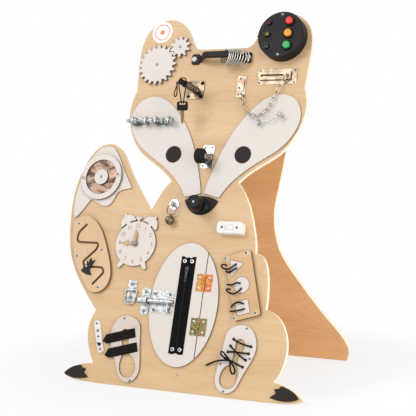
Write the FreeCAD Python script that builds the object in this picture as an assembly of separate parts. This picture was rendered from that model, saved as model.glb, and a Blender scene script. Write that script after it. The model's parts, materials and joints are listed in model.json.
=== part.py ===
import FreeCAD, Part
import math
import os

# Plywood activity board on a folding stand. Millimetres, +Z up, front towards -Y.
# The origin is the middle of the front board's floor edge.
# Pieces on the front board are laid out in the board's own frame:
# u across, v up the front face, h out from the front face.

V = FreeCAD.Vector

# Panels and stand
PLY = 10.0
LEAN_DEG = 17.74
FOOT_SPREAD = 481.0
APEX_V = 765.0
STOP_GAP = 0.3
STAND_KNUCKLE_R = 3.0
STAND_LEAF_T = 1.5
STAND_LEAF_W = 60.0
STAND_LEAF_L = 34.0
STAND_HINGE_U = 70.0
OVERLAY_T = 3.0
PEG_HOLE_R = 2.0
PEG_HOLE_V = 37.0

# Running fits and small gaps
FIT = 0.05
GAP = 0.3
BITE = 7.0

# Screws: head radius, head rise, shank radius, washer radius, washer thickness
SMALL = dict(head=2.6, rise=1.2, shank=1.1, washer=0.0, washer_t=0.0)
PAN = dict(head=4.0, rise=2.2, shank=1.6, washer=0.0, washer_t=0.0)
CUPPED = dict(head=2.8, rise=1.4, shank=1.3, washer=4.8, washer_t=1.2)
BROAD = dict(head=3.6, rise=1.8, shank=1.8, washer=6.2, washer_t=1.2)

# Left ear: badge and gears
BADGE = (-168.0, 838.0)
BADGE_R = 27.0
BADGE_T = 0.8
GEAR_CENTRE = (-165.5, 754.0)
GEAR_LINE_DEG = 37.9
MODULE = 4.64
LARGE_TEETH = 20
SMALL_TEETH = 10
PRESSURE_DEG = 25.0
ADDENDUM = 0.8
DEDENDUM = 1.0
BACKLASH = 0.7
GEAR_T = 6.0
GEAR_SPACER_T = 1.5
GEAR_SPACER_R = 6.0
AXLE_R = 2.0
AXLE_HEAD_R = 3.2
AXLE_HEAD_T = 1.6

# Pull handle and its rings
HANDLE_V = 765.0
HANDLE_HALF = 76.0
HANDLE_FOOT_L = 20.0
HANDLE_FOOT_W = 25.0
HANDLE_FOOT_T = 5.0
HANDLE_BAR_W = 15.0
HANDLE_BAR_T = 7.0
HANDLE_RISE = 31.5
HANDLE_SCREW_U = 69.0
RING_R = 18.0
RING_WIRE_R = 1.2
RING_COUNT = 9
RING_FIRST_U = 22.4
RING_STEP = 4.3
RING_SINK = 19.0
RING_LEAN_DEG = (55.0, 82.0)
RING_DROP = (7.0, 3.6)

# Spring stop and key
STOP_CENTRE = (-56.0, 690.0)
STOP_PLATE = 44.0
STOP_PLATE_T = 2.0
STOP_SCREW = 16.0
STOP_DROOP_DEG = 5.0
STOP_BOSS_R = 9.0
STOP_BOSS_T = 6.0
STOP_PLUG_R = 5.2
STOP_PLUG_L = 6.0
COIL_R = 7.0
COIL_WIRE_R = 1.1
COIL_PITCH = 2.8
COIL_TURNS = 17
TIP_R = 6.6
TIP_L = 21.0
CORD_R = 1.3
KEY_HEAD_W = 26.0
KEY_HEAD_H = 21.0
KEY_HEAD_T = 6.0
KEY_BLADE_W = 8.0
KEY_BLADE_L = 29.0
KEY_BLADE_T = 2.2
KEY_DROP = 53.0

# Door chain
CHAIN_PLATE = (144.8, 717.5)
CHAIN_PLATE_W = 96.0
CHAIN_PLATE_H = 37.0
CHAIN_PLATE_T = 1.4
CHANNEL_U = (104.5, 179.0)
CHANNEL_H = 20.0
CHANNEL_RISE = 6.0
CHANNEL_WALL = 1.2
CHAIN_SLOT_U = (108.0, 171.5)
CHAIN_SLOT_W = 5.0
CHAIN_SLOT_V = 719.0
SLIDER_U = 168.0
SLIDER_DISC_R = 6.0
SLIDER_POST_R = 1.7
SLIDER_POST_H = 13.0
ANCHOR_CENTRE = (59.5, 696.0)
ANCHOR_W = 22.0
ANCHOR_H = 51.0
ANCHOR_POST = (63.5, 676.0)
LINK_WIRE_R = 0.95
LINK_W = 10.0
LINK_COUNT = 13
LINK_SLACK = 0.5
CHAIN_LIFT = 9.4
CHAIN_SWAG = [(159, 694), (151, 676), (143, 655), (133, 637), (119, 626), (103, 622),
              (89, 629), (78, 642), (69, 659)]

# Bolt in two U brackets on the left cheek
BOLT_V = 611.0
BOLT_H = 15.0
BOLT_R = 3.9
BOLT_TIP_U = -216.0
BOLT_HEAD_U = -99.5
BOLT_HEAD_AF = 13.0
BOLT_HEAD_T = 5.5
BRACKETS_U = (-182.0, -121.0)
BRACKET_L = 36.0
BRACKET_W = 19.0
BRACKET_T = 2.0
BRACKET_EAR_H = 22.0
NUT_AF = 13.0
NUT_T = 6.5
WASHER_R = 8.0
WASHER_T = 1.6
WING_U = -154.0
WING_HUB_R = 6.5
WING_HUB_L = 8.0
WING_SPAN = 13.0
WING_T = 2.4

# Right ear box
BOX_CENTRE = (151.0, 807.5)
BOX_R = 54.5
BOX_H = 28.0
BOX_WALL = 2.5
BOX_LID_T = 3.0
BOX_LIP = 1.5
BOX_SCREW_R = 47.5
BOX_POST_R = 5.4
LAMP_U = -31.5
BUTTON_U = 19.5
ROW_V = (30.0, 1.0, -27.5)
LAMP_BEZEL_R = 7.5
LAMP_R = 4.6
BUTTON_BEZEL_R = 11.5
BUTTON_R = 8.6
BEZEL_T = 5.0
BUTTON_RISE = 4.5
BUTTON_TRAVEL = 2.5
BUTTON_FLANGE_T = 2.0
CELL_R = 7.0
CELL_L = 50.0

# Hook and eye on the right cheek
EYE_LEFT = (119.8, 605.5)
EYE_RIGHT = (171.0, 622.0)
EYE_R = 6.0
EYE_WIRE_R = 1.4
HOOK_RING_R = 7.2
HOOK_WIRE_R = 1.2
HOOK_H = 9.0
HOOK_TIP_DROP = 15.0

# Caster between the eyes
CASTER_CENTRE = (0.0, 529.0)
CASTER_PLATE_W = 29.0
CASTER_PLATE_H = 54.0
CASTER_PLATE_T = 2.2
CASTER_RACE_R = 11.0
CASTER_RACE_T = 5.0
CASTER_TRAIL = 8.0
WHEEL_R = 17.0
WHEEL_W = 19.0
WHEEL_OUT = 36.0
FORK_T = 2.2
FORK_GAP = 0.8
WHEEL_AXLE_R = 2.5
KINGPIN_R = 3.5

# Nose
KNOB_CENTRE = (3.0, 413.0)
KNOB_FLANGE_R = 19.5
KNOB_NECK_R = 12.5
KNOB_BULB_R = 18.0
KNOB_FACE_R = 16.0
KNOB_L = 44.0

# Bell
BELL_EYE = (-68.0, 416.0)
BELL_WASHER_R = 13.5
BELL_WASHER_T = 1.6
BELL_EYE_RING_R = 5.0
BELL_EYE_WIRE_R = 1.3
SPLIT_RING_R = 12.0
SPLIT_WIRE_R = 1.1
BELL_R = 10.5
BELL_WALL = 1.1
BELL_BALL_R = 3.0
BELL_LUG_R = 3.0
BELL_LUG_WIRE_R = 0.9

# Switch
SWITCH_CENTRE = (86.0, 364.5)
SWITCH_L = 62.0
SWITCH_W = 28.0
SWITCH_H = 20.0
SWITCH_CORNER = 8.0
SWITCH_SCREW = 18.0
ROCKER_L = 17.0
ROCKER_W = 11.0
ROCKER_TILT_DEG = 8.0
ROCKER_TOP = 6.2
ROCKER_DEPTH = 3.2

# Tail ring and mirror disc
TAIL_CENTRE = (-268.6, 476.5)
TAIL_RING_R = 55.0
TAIL_BORE_R = 41.5
TAIL_RING_T = 6.0
MIRROR_T = 2.5
MIRROR_HUB_R = 18.5
MIRROR_HUB_T = 3.0
TAIL_SCREW_R = 47.5
TAIL_SCREW_DEG = (6.8, 184.7)
SLEEVE_R = 4.6
SLEEVE_T = 4.0

# Maze
MAZE_T = 8.0
GROOVE_W = 5.0
GROOVE_D = 4.5
GROOVE = [(-287.0, 359.5), (-306, 340), (-306, 317.5), (-246, 317.5), (-249, 303),
          (-281, 272), (-275, 261), (-226, 261), (-220, 250), (-245, 222)]
MAZE_SCREWS = [(-307.5, 361.5), (-233.5, 301.5), (-298.5, 284.5), (-228.7, 214.7)]
RUNNER = (-267.0, 261.0)
RUNNER_T = 2.5
RUNNER_PIN_R = 1.9

# Clock
CLOCK_CENTRE = (-151.0, 321.0)
CLOCK_R = 52.0
CLOCK_T = 4.5
HAND_T = 2.0
HUB_R = 5.5
HAND_BORE_R = 2.1

# Lashing ring
TIE_CENTRE = (-143.0, 212.5)
TIE_W = 23.0
TIE_L = 49.0
TIE_T = 2.0
TIE_KNUCKLE_V = 214.5
TIE_WIRE_R = 1.8
TIE_RING_W = 31.0
TIE_RING_L = 34.0

# Belly, door and its bolt
BELLY_CENTRE = (-7.0, 191.0)
BELLY_A = 83.5
BELLY_B = 138.0
BELLY_T = 4.0
DOOR_SPLIT_U = 37.5
DOOR_GAP = 1.6
DOOR_LEAF_T = 1.2
DOOR_KNUCKLE_R = 2.2
DOOR_PIN_R = 1.1
DOOR_LEAF_W = 19.0
DOOR_LEAF_H = 38.0
DOOR_HINGES_V = (241.0, 144.0)
DOOR_SCREW_U = 11.5
DOOR_SCREW_V = 11.5
LOCK_V = 192.0
LOCK_PLATE_U = (-86.0, -32.0)
LOCK_PLATE_H = 50.0
LOCK_PLATE_T = 1.6
LOCK_ROD_R = 4.0
LOCK_ROD_H = 13.2
LOCK_ROD_L = 64.0
LOCK_TRAVEL = 27.0
LOCK_BARREL_WALL = 1.4
LOCK_LEVER_L = 17.0
KEEPER_U = -104.5
KEEPER_W = 23.0
KEEPER_L = 62.0
KEEPER_T = 1.6
KEEPER_BEND_R = 3.5
ZIP_TOP = (-8.5, 298.0)
ZIP_W = 36.0
ZIP_L = 218.0
ZIP_T = 1.2
ZIP_SCREW_U = 9.0
ZIP_SCREW_V = 11.0
PULL_V = 268.0
PULL_W = 9.0
PULL_L = 13.0
PULL_H = 2.4
PULL_TAB_L = 26.0

# Insert panel
INSERT_CENTRE = (130.1, 241.2)
INSERT_W = 62.0
INSERT_H = 146.0
INSERT_T = 8.0
INSERT_DEG = 17.0
INSERT_CORNER = 5.0
POCKET_D = 5.0
INSERT_CLEAR = 0.4
INSERT_RISE = 0.6
INSERT_DISC_R = 17.8
INSERT_SIDE = 30.0
TRIANGLE_R = 22.0
TRIANGLE_AT = (107.5, 277.5)
DISC_AT = (128.7, 241.5)
SQUARE_AT = (142.5, 192.3)
INSERT_SCREWS = [(82.7, 297), (129.7, 312), (168.5, 183.8), (121.7, 168.8)]

# Shoes
SHOE_T = 4.0
EYELET_R = 3.4
EYELET_RISE = 0.8
LACE_R = 1.8
STRAP_T = 1.8
STRAP_W = 21.0
STRAP_L = 84.0
STRAP_DEG = 15.8
STRAPS = ((-116.0, 119.5), (-105.5, 88.5))
STRAP_POINT = 11.0

# White strip with toggle
STRIP_TOP = (-218.5, 132.5)
STRIP_BOTTOM = (-199.5, 75.0)
STRIP_W = 15.0
STRIP_T = 5.0
TOGGLE_SWING_DEG = 24.0

lean = math.radians(LEAN_DEG)
floor_line = PLY / 2 / math.cos(lean)
apex_y = -floor_line + APEX_V * math.sin(lean) + PLY * math.cos(lean)
apex_z = APEX_V * math.cos(lean) - PLY * math.sin(lean)
rear_lean = math.atan2(FOOT_SPREAD - apex_y, apex_z)
rear_length = math.hypot(FOOT_SPREAD - apex_y, apex_z)
pin_below_apex = STAND_KNUCKLE_R / math.tan((lean + rear_lean) / 2)
BOARD = FreeCAD.Placement(V(0, -floor_line, 0), FreeCAD.Rotation(V(1, 0, 0), 90 - LEAN_DEG))
REAR = FreeCAD.Placement(V(0, FOOT_SPREAD, 0),
                         FreeCAD.Rotation(V(1, 0, 0), 90 + math.degrees(rear_lean)))
PLUMB = V(0, -math.cos(lean), -math.sin(lean))
OUT = V(0, 0, 1)


# Drawing helpers, all in the board's frame

def smooth(points):
    """One edge through the points: straight for two, curved for more."""
    path = [V(p[0], p[1], 0) for p in points]
    if len(path) == 2:
        return Part.LineSegment(path[0], path[1]).toShape()
    curve = Part.BSplineCurve()
    curve.interpolate(path)
    return curve.toShape()


def face_from(start, stretches):
    """A face whose edge runs through stretches, each starting where the last ended."""
    here = start
    edges = []
    for stretch in stretches:
        edges.append(smooth([here] + stretch))
        here = stretch[-1]
    return Part.Face(Part.Wire(edges))


def polygon(points):
    path = [V(p[0], p[1], 0) for p in points]
    return Part.Face(Part.makePolygon(path + [path[0]]))


def raised(face, h, t):
    """A plate t thick whose underside is h above the board's face."""
    plate = face.extrude(V(0, 0, t))
    plate.translate(V(0, 0, h))
    return plate


def disc(u, v, h, r, t):
    return Part.makeCylinder(r, t, V(u, v, h), OUT)


def block(u0, u1, v0, v1, h0, h1):
    return Part.makeBox(u1 - u0, v1 - v0, h1 - h0, V(u0, v0, h0))


def rounded(u0, u1, v0, v1, h, t, corner):
    plate = block(u0, u1, v0, v1, h, h + t)
    uprights = [e for e in plate.Edges if abs(e.tangentAt(e.FirstParameter).z) > 0.9]
    return plate.makeFillet(corner, uprights)


def turned(profile, u, v, h):
    """A turned solid from (radius, height) points, standing out from the board."""
    wire = Part.makePolygon([V(r, 0, z) for r, z in profile + [profile[0]]])
    solid = Part.Face(wire).revolve(V(0, 0, 0), OUT, 360)
    solid.translate(V(u, v, h))
    return solid


def ring(centre, axis, r, wire_r):
    return Part.makeTorus(r, wire_r, centre, axis)


def spun(shape, u, v, degrees):
    shape.rotate(V(u, v, 0), OUT, degrees)
    return shape


def around(u, v, r, degrees):
    a = math.radians(degrees)
    return u + r * math.cos(a), v + r * math.sin(a)


def mirrored(points):
    return [(-u, v) for u, v in points]


def fused(solids):
    whole = solids[0]
    for solid in solids[1:]:
        whole = whole.fuse(solid)
    return whole.removeSplitter()


def one(shape):
    """The single solid of a result that may come wrapped in a compound."""
    solids = shape.Solids
    return max(solids, key=lambda s: s.Volume)


def hexagon(across_flats):
    r = across_flats / math.sqrt(3)
    return [(r * math.cos(math.radians(60 * k)), r * math.sin(math.radians(60 * k)))
            for k in range(6)]


def tube_path(points):
    """Straight runs joined by tangent arcs; returns the wire and its arc radii."""
    edges = []
    radii = []
    here = points[0]
    for k in range(1, len(points) - 1):
        before, corner, after = points[k - 1], points[k], points[k + 1]
        into = (corner - before).normalize()
        away = (after - corner).normalize()
        turn = into.getAngle(away)
        run = min((corner - before).Length, (after - corner).Length)
        setback = 0.45 * run
        radius = setback / math.tan(turn / 2)
        a = corner - into * setback
        b = corner + away * setback
        bisector = (away - into).normalize()
        middle = corner + bisector * (radius / math.cos(turn / 2) - radius)
        edges.append(Part.LineSegment(here, a).toShape())
        edges.append(Part.Arc(a, middle, b).toShape())
        radii.append(radius)
        here = b
    edges.append(Part.LineSegment(here, points[-1]).toShape())
    return Part.Wire(edges), radii


def tube(points, r, label):
    """A round tube along a route; prints how it measures."""
    path, radii = tube_path(points)
    start = path.Edges[0]
    direction = start.tangentAt(start.FirstParameter)
    section = Part.Wire(Part.makeCircle(r, points[0], direction))
    shell = Part.BRepOffsetAPI.MakePipeShell(path)
    shell.add(section)
    shell.build()
    shell.makeSolid()
    solid = shell.shape()
    share = solid.Volume / (math.pi * r * r * path.Length)
    least = min(radii) / r / 2 if radii else 0
    print(f"{label}: length {path.Length:.1f}, least bend {least:.1f} diameters, "
          f"volume share {share:.3f}")
    return solid


def trimmed(tubes, seats):
    """Each tube cut back to the face of what it meets."""
    made = []
    for solid in tubes:
        for seat in seats:
            if solid.BoundBox.intersect(seat.BoundBox):
                solid = one(solid.cut(seat))
        made.append(solid)
    return made


# Screws and the holes they need

def screw(u, v, seat, kind, bite):
    """A screw standing on a seat, with its washer where it has one."""
    under = seat + kind["washer_t"]
    profile = [(0, -seat - bite - kind["washer_t"]), (kind["shank"], -seat - bite - kind["washer_t"]),
               (kind["shank"], 0), (kind["head"], 0), (kind["head"], kind["rise"] * 0.4),
               (kind["head"] * 0.6, kind["rise"]), (0, kind["rise"])]
    pieces = [turned(profile, u, v, under)]
    if kind["washer"]:
        washer = turned([(kind["shank"] + FIT, 0), (kind["washer"], 0),
                         (kind["washer"] * 0.8, kind["washer_t"]),
                         (kind["shank"] + FIT, kind["washer_t"])], u, v, seat)
        pieces.append(washer)
    return pieces


def screws(places, seat, kind, bite=BITE):
    made = []
    for u, v in places:
        made += screw(u, v, seat, kind, bite)
    return made


def drilled(solid, places, kind, depth=60.0, top=60.0):
    """The solid with a clearance hole at each place, from depth below the face to top."""
    for u, v in places:
        solid = solid.cut(disc(u, v, -depth, kind["shank"] + FIT, depth + top))
    return one(solid)


# Front board and stand

def board_outline():
    foot_right = [(235, 1.5), (265, 4), (288, 8), (296.5, 11.5)]
    instep_right = [(288, 19), (274, 28), (258, 35.5), (240, 41), (226, 44)]
    hip = [(236, 60), (243.5, 82), (247, 104), (245, 130), (239, 150), (228, 169.5),
           (213, 184), (200, 190.5), (188, 193)]
    arm = [(188.5, 220), (185, 255), (179, 283), (170, 302), (161, 311), (148, 313)]
    side = [(142.5, 348), (134.5, 376), (123, 408), (108, 439), (84, 471)]
    jaw = [(117, 500), (150, 521), (178, 541.5), (201, 570.5), (215, 601), (222.5, 632),
           (222, 657), (213.5, 690)]
    ear = [(215.5, 722), (218, 762), (217.5, 802), (207, 836), (183, 860), (146, 868.5),
           (113, 855.5), (90, 827), (78, 804), (69, 794), (59, 790)]
    neck_left = [(-101, 450), (-113, 428), (-127, 399)]
    tail = [(-138, 416), (-150, 432), (-178, 469), (-205, 511), (-220, 535), (-242, 554),
            (-270, 559.5), (-296, 547), (-319, 515), (-335, 470), (-341.5, 425),
            (-339, 370), (-326, 300), (-302, 250), (-263, 200), (-230, 163)]
    hip_left = [(-239.5, 141), (-242.5, 117), (-239, 94), (-231, 72), (-215, 44.5)]
    instep_left = [(-235, 41.5), (-252, 37), (-268, 29), (-280, 20), (-287, 12)]
    foot_left = [(-270, 6), (-240, 2.5), (-200, 0)]
    head_left = mirrored((ear[::-1] + [(213.5, 690)])[1:])
    jaw_left = mirrored((jaw[::-1] + [(84, 471)])[1:])
    return face_from((200, 0), [foot_right, instep_right, hip, arm, side, jaw, ear,
                                [(-59, 790)], head_left, jaw_left, neck_left, tail,
                                hip_left, instep_left, foot_left, [(200, 0)]])


def front_board(holes):
    """The panel with its floor edge cut level and every pilot hole drilled."""
    panel = raised(board_outline(), -PLY, PLY)
    panel = panel.cut(disc(0, PEG_HOLE_V, -PLY - 1, PEG_HOLE_R, PLY + 2))
    for (u, v), radius, depth in holes:
        panel = panel.cut(disc(u, v, -depth, radius + FIT, depth + 1))
    panel.Placement = BOARD.multiply(panel.Placement)
    below = Part.makeBox(1000, 60, 40, V(-500, -30, -40))
    return one(panel.cut(below))


def rear_panel():
    """The waisted stand panel, in its own frame: across, up, and out to the front."""
    half = [(224, 12), (227, 30), (219, 56), (183, 109), (141, 171), (104, 232), (79, 285),
            (72, 335), (77, 392), (98, 457), (118, 517), (137, 580), (141, 640), (134, 710),
            (128, rear_length)]
    top = rear_length + 2 * PLY
    up = [(128, top)]
    left = mirrored(half)
    outline = face_from((212, -PLY), [half, up, [(-128, top)], [left[-1]],
                                      left[::-1][1:] + [(-212, -PLY)], [(212, -PLY)]])
    panel = raised(outline, -PLY, PLY)
    panel.Placement = REAR.multiply(panel.Placement)
    ahead = block(-400, 400, 0, 1000, -PLY - STOP_GAP, 400)
    ahead.Placement = BOARD.multiply(ahead.Placement)
    below = Part.makeBox(1000, 100, 40, V(-500, FOOT_SPREAD - 50, -40))
    return one(panel.cut(ahead).cut(below))


def stand_leaf(pin_v, face_h, out, knuckles, bore):
    """A hinge leaf below its pin on a panel's face, with the given knuckles."""
    pin_h = face_h + out * STAND_KNUCKLE_R
    low, high = sorted((face_h, face_h + out * STAND_LEAF_T))
    leaves = []
    for centre in (-STAND_HINGE_U, STAND_HINGE_U):
        left = centre - STAND_LEAF_W / 2
        leaf = block(left, left + STAND_LEAF_W, pin_v - STAND_LEAF_L,
                     pin_v - STAND_KNUCKLE_R - GAP, low, high)
        for a, b in knuckles:
            u0 = left + a * STAND_LEAF_W + (GAP / 2 if a else 0)
            u1 = left + b * STAND_LEAF_W - (GAP / 2 if b < 1 else 0)
            leaf = leaf.fuse(block(u0, u1, pin_v - STAND_LEAF_L, pin_v, low, high))
            leaf = leaf.fuse(Part.makeCylinder(STAND_KNUCKLE_R, u1 - u0, V(u0, pin_v, pin_h),
                                               V(1, 0, 0)))
        leaf = leaf.cut(Part.makeCylinder(bore, STAND_LEAF_W + 2, V(left - 1, pin_v, pin_h),
                                          V(1, 0, 0)))
        leaves.append(one(leaf.removeSplitter()))
    return leaves


def stand_hinges():
    """Leaves on the board's back with the pins, and leaves on the rear panel."""
    pin_r = STAND_KNUCKLE_R / 2
    pin_v = APEX_V - pin_below_apex
    board_side = stand_leaf(pin_v, -PLY, -1, [(0, 1 / 3), (2 / 3, 1)], pin_r)
    for centre in (-STAND_HINGE_U, STAND_HINGE_U):
        board_side.append(Part.makeCylinder(pin_r, STAND_LEAF_W,
                                            V(centre - STAND_LEAF_W / 2, pin_v,
                                              -PLY - STAND_KNUCKLE_R), V(1, 0, 0)))
    rear_side = stand_leaf(rear_length - pin_below_apex, 0, 1, [(1 / 3, 2 / 3)], pin_r + FIT)
    return board_side, rear_side


# Thin overlays

def cheek(side):
    edge = [(8, 464), (15, 489), (30, 532.5), (56, 588), (87, 631), (122, 663), (163, 675.5),
            (199, 660.5), (214, 622), (204, 586), (177, 551), (151, 532), (121, 513),
            (72, 473), (53, 450), (43, 434)]
    start = (3.6, 443)
    points = [start] + edge
    if side < 0:
        points = mirrored(points)
    face = face_from(points[0], [points[1:], [points[0]]])
    return raised(face, 0, OVERLAY_T)


def tail_patch():
    left = [(-333.5, 400), (-333.5, 430), (-329, 462), (-321, 492), (-310, 516), (-295, 538),
            (-279, 550), (-262, 552.5), (-248, 549)]
    right = [(-232, 530), (-208, 489), (-193, 467), (-184, 452)]
    notch = [(-203, 448), (-216, 443), (-226, 427), (-234, 413), (-246, 407), (-262, 410),
             (-290, 422)]
    spike = [(-299, 409), (-313, 389), (-325, 377)]
    return raised(face_from((-325, 377), [[(-331, 384)] + left, right, notch, spike]), 0, OVERLAY_T)


def badge():
    return disc(BADGE[0], BADGE[1], 0, BADGE_R, BADGE_T)


def black_patches():
    nose_top = [(25, 434), (0, 437.5), (-25, 434), (-41.5, 427)]
    nose_low = [(-32, 410), (-18, 398), (0, 394), (18, 398), (32, 410), (41.5, 427)]
    nose = raised(face_from((41.5, 427), [nose_top, nose_low]), 0, OVERLAY_T)
    toe = [(276, 25), (262, 32.5), (245, 37)]
    claws = [(241, 31.5), (230.5, 29.5), (235, 21), (222, 11.5)]
    sole = [(243, 7), (268, 8), (286, 14.5)]
    paws = []
    for flip in (False, True):
        pts = [toe, [claws[0]], [claws[1]], [claws[2]], [claws[3]], sole]
        start = (286, 14.5)
        if flip:
            pts = [mirrored(p) for p in pts]
            start = (-286, 14.5)
        paws.append(raised(face_from(start, pts), 0, OVERLAY_T))
    eyes = [disc(side * 87.4, 534, OVERLAY_T, 19.8, 1.5) for side in (-1, 1)]
    return [nose] + paws + eyes


# Gears

def gear(teeth):
    pitch_r = MODULE * teeth / 2
    pressure = math.radians(PRESSURE_DEG)
    base_r = pitch_r * math.cos(pressure)
    tip_r = pitch_r + ADDENDUM * MODULE
    root_r = pitch_r - DEDENDUM * MODULE
    half = math.pi / 2 / teeth - BACKLASH / 2 / pitch_r + math.tan(pressure) - pressure

    def flank(r):
        roll = math.acos(min(1.0, base_r / r))
        return half - (math.tan(roll) - roll)

    def at(r, a):
        return V(r * math.cos(a), r * math.sin(a), 0)

    mid_r = (base_r + tip_r) / 2
    edges = []
    for k in range(teeth):
        middle = 2 * math.pi * k / teeth
        following = middle + 2 * math.pi / teeth
        low = [at(r, middle - flank(max(r, base_r))) for r in (root_r, base_r, mid_r, tip_r)]
        high = [at(r, middle + flank(max(r, base_r))) for r in (root_r, base_r, mid_r, tip_r)]
        next_root = at(root_r, following - flank(base_r))
        edges.append(Part.LineSegment(low[0], low[1]).toShape())
        edges.append(Part.Arc(low[1], low[2], low[3]).toShape())
        edges.append(Part.Arc(low[3], at(tip_r, middle), high[3]).toShape())
        edges.append(Part.Arc(high[3], high[2], high[1]).toShape())
        edges.append(Part.LineSegment(high[1], high[0]).toShape())
        edges.append(Part.Arc(high[0], at(root_r, (middle + following) / 2), next_root).toShape())
    return Part.Face(Part.Wire(edges)).extrude(V(0, 0, GEAR_T))


def gears():
    """Two gears in mesh, their axle screws and the spacers under them."""
    line = math.radians(GEAR_LINE_DEG)
    distance = MODULE * (LARGE_TEETH + SMALL_TEETH) / 2
    small_at = (GEAR_CENTRE[0] + distance * math.cos(line),
                GEAR_CENTRE[1] + distance * math.sin(line))
    made = []
    axles = []
    turns = (GEAR_LINE_DEG, GEAR_LINE_DEG + 180 + 180 / SMALL_TEETH)
    for (u, v), teeth, turn in zip((GEAR_CENTRE, small_at), (LARGE_TEETH, SMALL_TEETH), turns):
        wheel = gear(teeth).cut(disc(0, 0, -1, AXLE_R + FIT, GEAR_T + 2))
        wheel.rotate(V(0, 0, 0), OUT, turn)
        wheel.translate(V(u, v, GEAR_SPACER_T))
        made.append(one(wheel))
        top = GEAR_SPACER_T + GEAR_T + GAP
        axles.append(turned([(0, -BITE), (AXLE_R, -BITE), (AXLE_R, top), (AXLE_HEAD_R, top),
                             (AXLE_HEAD_R, top + AXLE_HEAD_T * 0.5),
                             (AXLE_HEAD_R * 0.6, top + AXLE_HEAD_T), (0, top + AXLE_HEAD_T)],
                            u, v, 0))
        axles.append(turned([(AXLE_R + FIT, 0), (GEAR_SPACER_R, 0),
                             (GEAR_SPACER_R, GEAR_SPACER_T - GAP),
                             (AXLE_R + FIT, GEAR_SPACER_T - GAP)], u, v, 0))
    return made, axles, [GEAR_CENTRE, small_at]


# Handle and rings

def pull_handle():
    foot = HANDLE_HALF - HANDLE_FOOT_L
    top, under = HANDLE_RISE, HANDLE_RISE - HANDLE_BAR_T
    rise = [(foot - 6, top * 0.28), (foot - 14, top * 0.66), (foot - 22, top * 0.94),
            (foot - 30, top)]
    dip = [(foot - 12, under * 0.36), (foot - 20, under * 0.78), (foot - 26, under * 0.96),
           (foot - 32, under)]
    side = face_from((foot + 4, 0), [[(foot, HANDLE_FOOT_T)], rise,
                                     [(-foot + 30, top)],
                                     mirrored(rise[::-1][1:]) + [(-foot, HANDLE_FOOT_T)],
                                     [(-foot - 4, 0)], [(-foot + 6, 0)],
                                     mirrored(dip), [(foot - 32, under)],
                                     dip[::-1][1:] + [(foot - 6, 0)], [(foot + 4, 0)]])
    bar = side.extrude(V(0, 0, HANDLE_BAR_W))
    bar.rotate(V(0, 0, 0), V(1, 0, 0), 90)
    bar.translate(V(0, HANDLE_V + HANDLE_BAR_W / 2, 0))
    solids = [bar]
    for end in (-1, 1):
        u0, u1 = sorted((end * foot, end * HANDLE_HALF))
        solids.append(rounded(u0, u1, HANDLE_V - HANDLE_FOOT_W / 2, HANDLE_V + HANDLE_FOOT_W / 2,
                              0, HANDLE_FOOT_T, 4))
    return one(fused(solids))


def handle_rings():
    """Rings that hang on the bar, leaning over more and more towards the right foot."""
    made = []
    bar_h = HANDLE_RISE - HANDLE_BAR_T / 2
    for k in range(RING_COUNT):
        share = (k / (RING_COUNT - 1)) ** 2
        lean_k = RING_LEAN_DEG[0] + (RING_LEAN_DEG[1] - RING_LEAN_DEG[0]) * share
        drop = RING_DROP[0] + (RING_DROP[1] - RING_DROP[0]) * share
        tilt = math.radians(lean_k)
        across = V(math.cos(tilt), 0, -math.sin(tilt))
        centre = V(RING_FIRST_U + k * RING_STEP, HANDLE_V - drop, bar_h - RING_SINK * share)
        made.append(ring(centre, across, RING_R, RING_WIRE_R))
    return made


# Spring stop and key

def biarc(start, start_way, end, end_way):
    """Two arcs from start to end that leave and arrive along the given unit ways."""
    chord = end - start
    ways = start_way + end_way
    a = ways.dot(ways) - 4
    b = -2 * chord.dot(ways)
    c = chord.dot(chord)
    reach = (-b - math.sqrt(b * b - 4 * a * c)) / (2 * a)
    first, last = start + start_way * reach, end - end_way * reach
    middle = (first + last) * 0.5
    arcs = []
    for p, q, r in ((start, first, middle), (middle, last, end)):
        weight = (r - p).Length / (2 * reach)
        top = (p + r + q * (2 * weight)) * (1 / (2 + 2 * weight))
        arcs.append(Part.Arc(p, top, r).toShape())
    return arcs


def coil():
    """A close coil spring as one tube on smooth quarter-turn arcs, standing on its boss."""
    rise = COIL_PITCH / 4
    edges = []
    places = []
    ways = []
    for k in range(COIL_TURNS * 4 + 1):
        turn = math.radians(90 * k)
        places.append(V(COIL_R * math.cos(turn), COIL_R * math.sin(turn), k * rise))
        way = V(-COIL_R * math.sin(turn), COIL_R * math.cos(turn), COIL_PITCH / (2 * math.pi))
        ways.append(way.normalize())
    for k in range(COIL_TURNS * 4):
        edges += biarc(places[k], ways[k], places[k + 1], ways[k + 1])
    path = Part.Wire(edges)
    section = Part.Wire(Part.makeCircle(COIL_WIRE_R, places[0], ways[0]))
    shell = Part.BRepOffsetAPI.MakePipeShell(path)
    shell.add(section)
    shell.build()
    shell.makeSolid()
    print(f"spring: gap between turns {COIL_PITCH - 2 * COIL_WIRE_R:.2f}")
    return shell.shape()


def stop_tilt(shape):
    """Tips the spring's axis down a little under the key's weight."""
    shape.rotate(V(0, 0, 0), V(1, 0, 0), STOP_DROOP_DEG)
    shape.translate(V(STOP_CENTRE[0], STOP_CENTRE[1], 0))
    return shape


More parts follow.
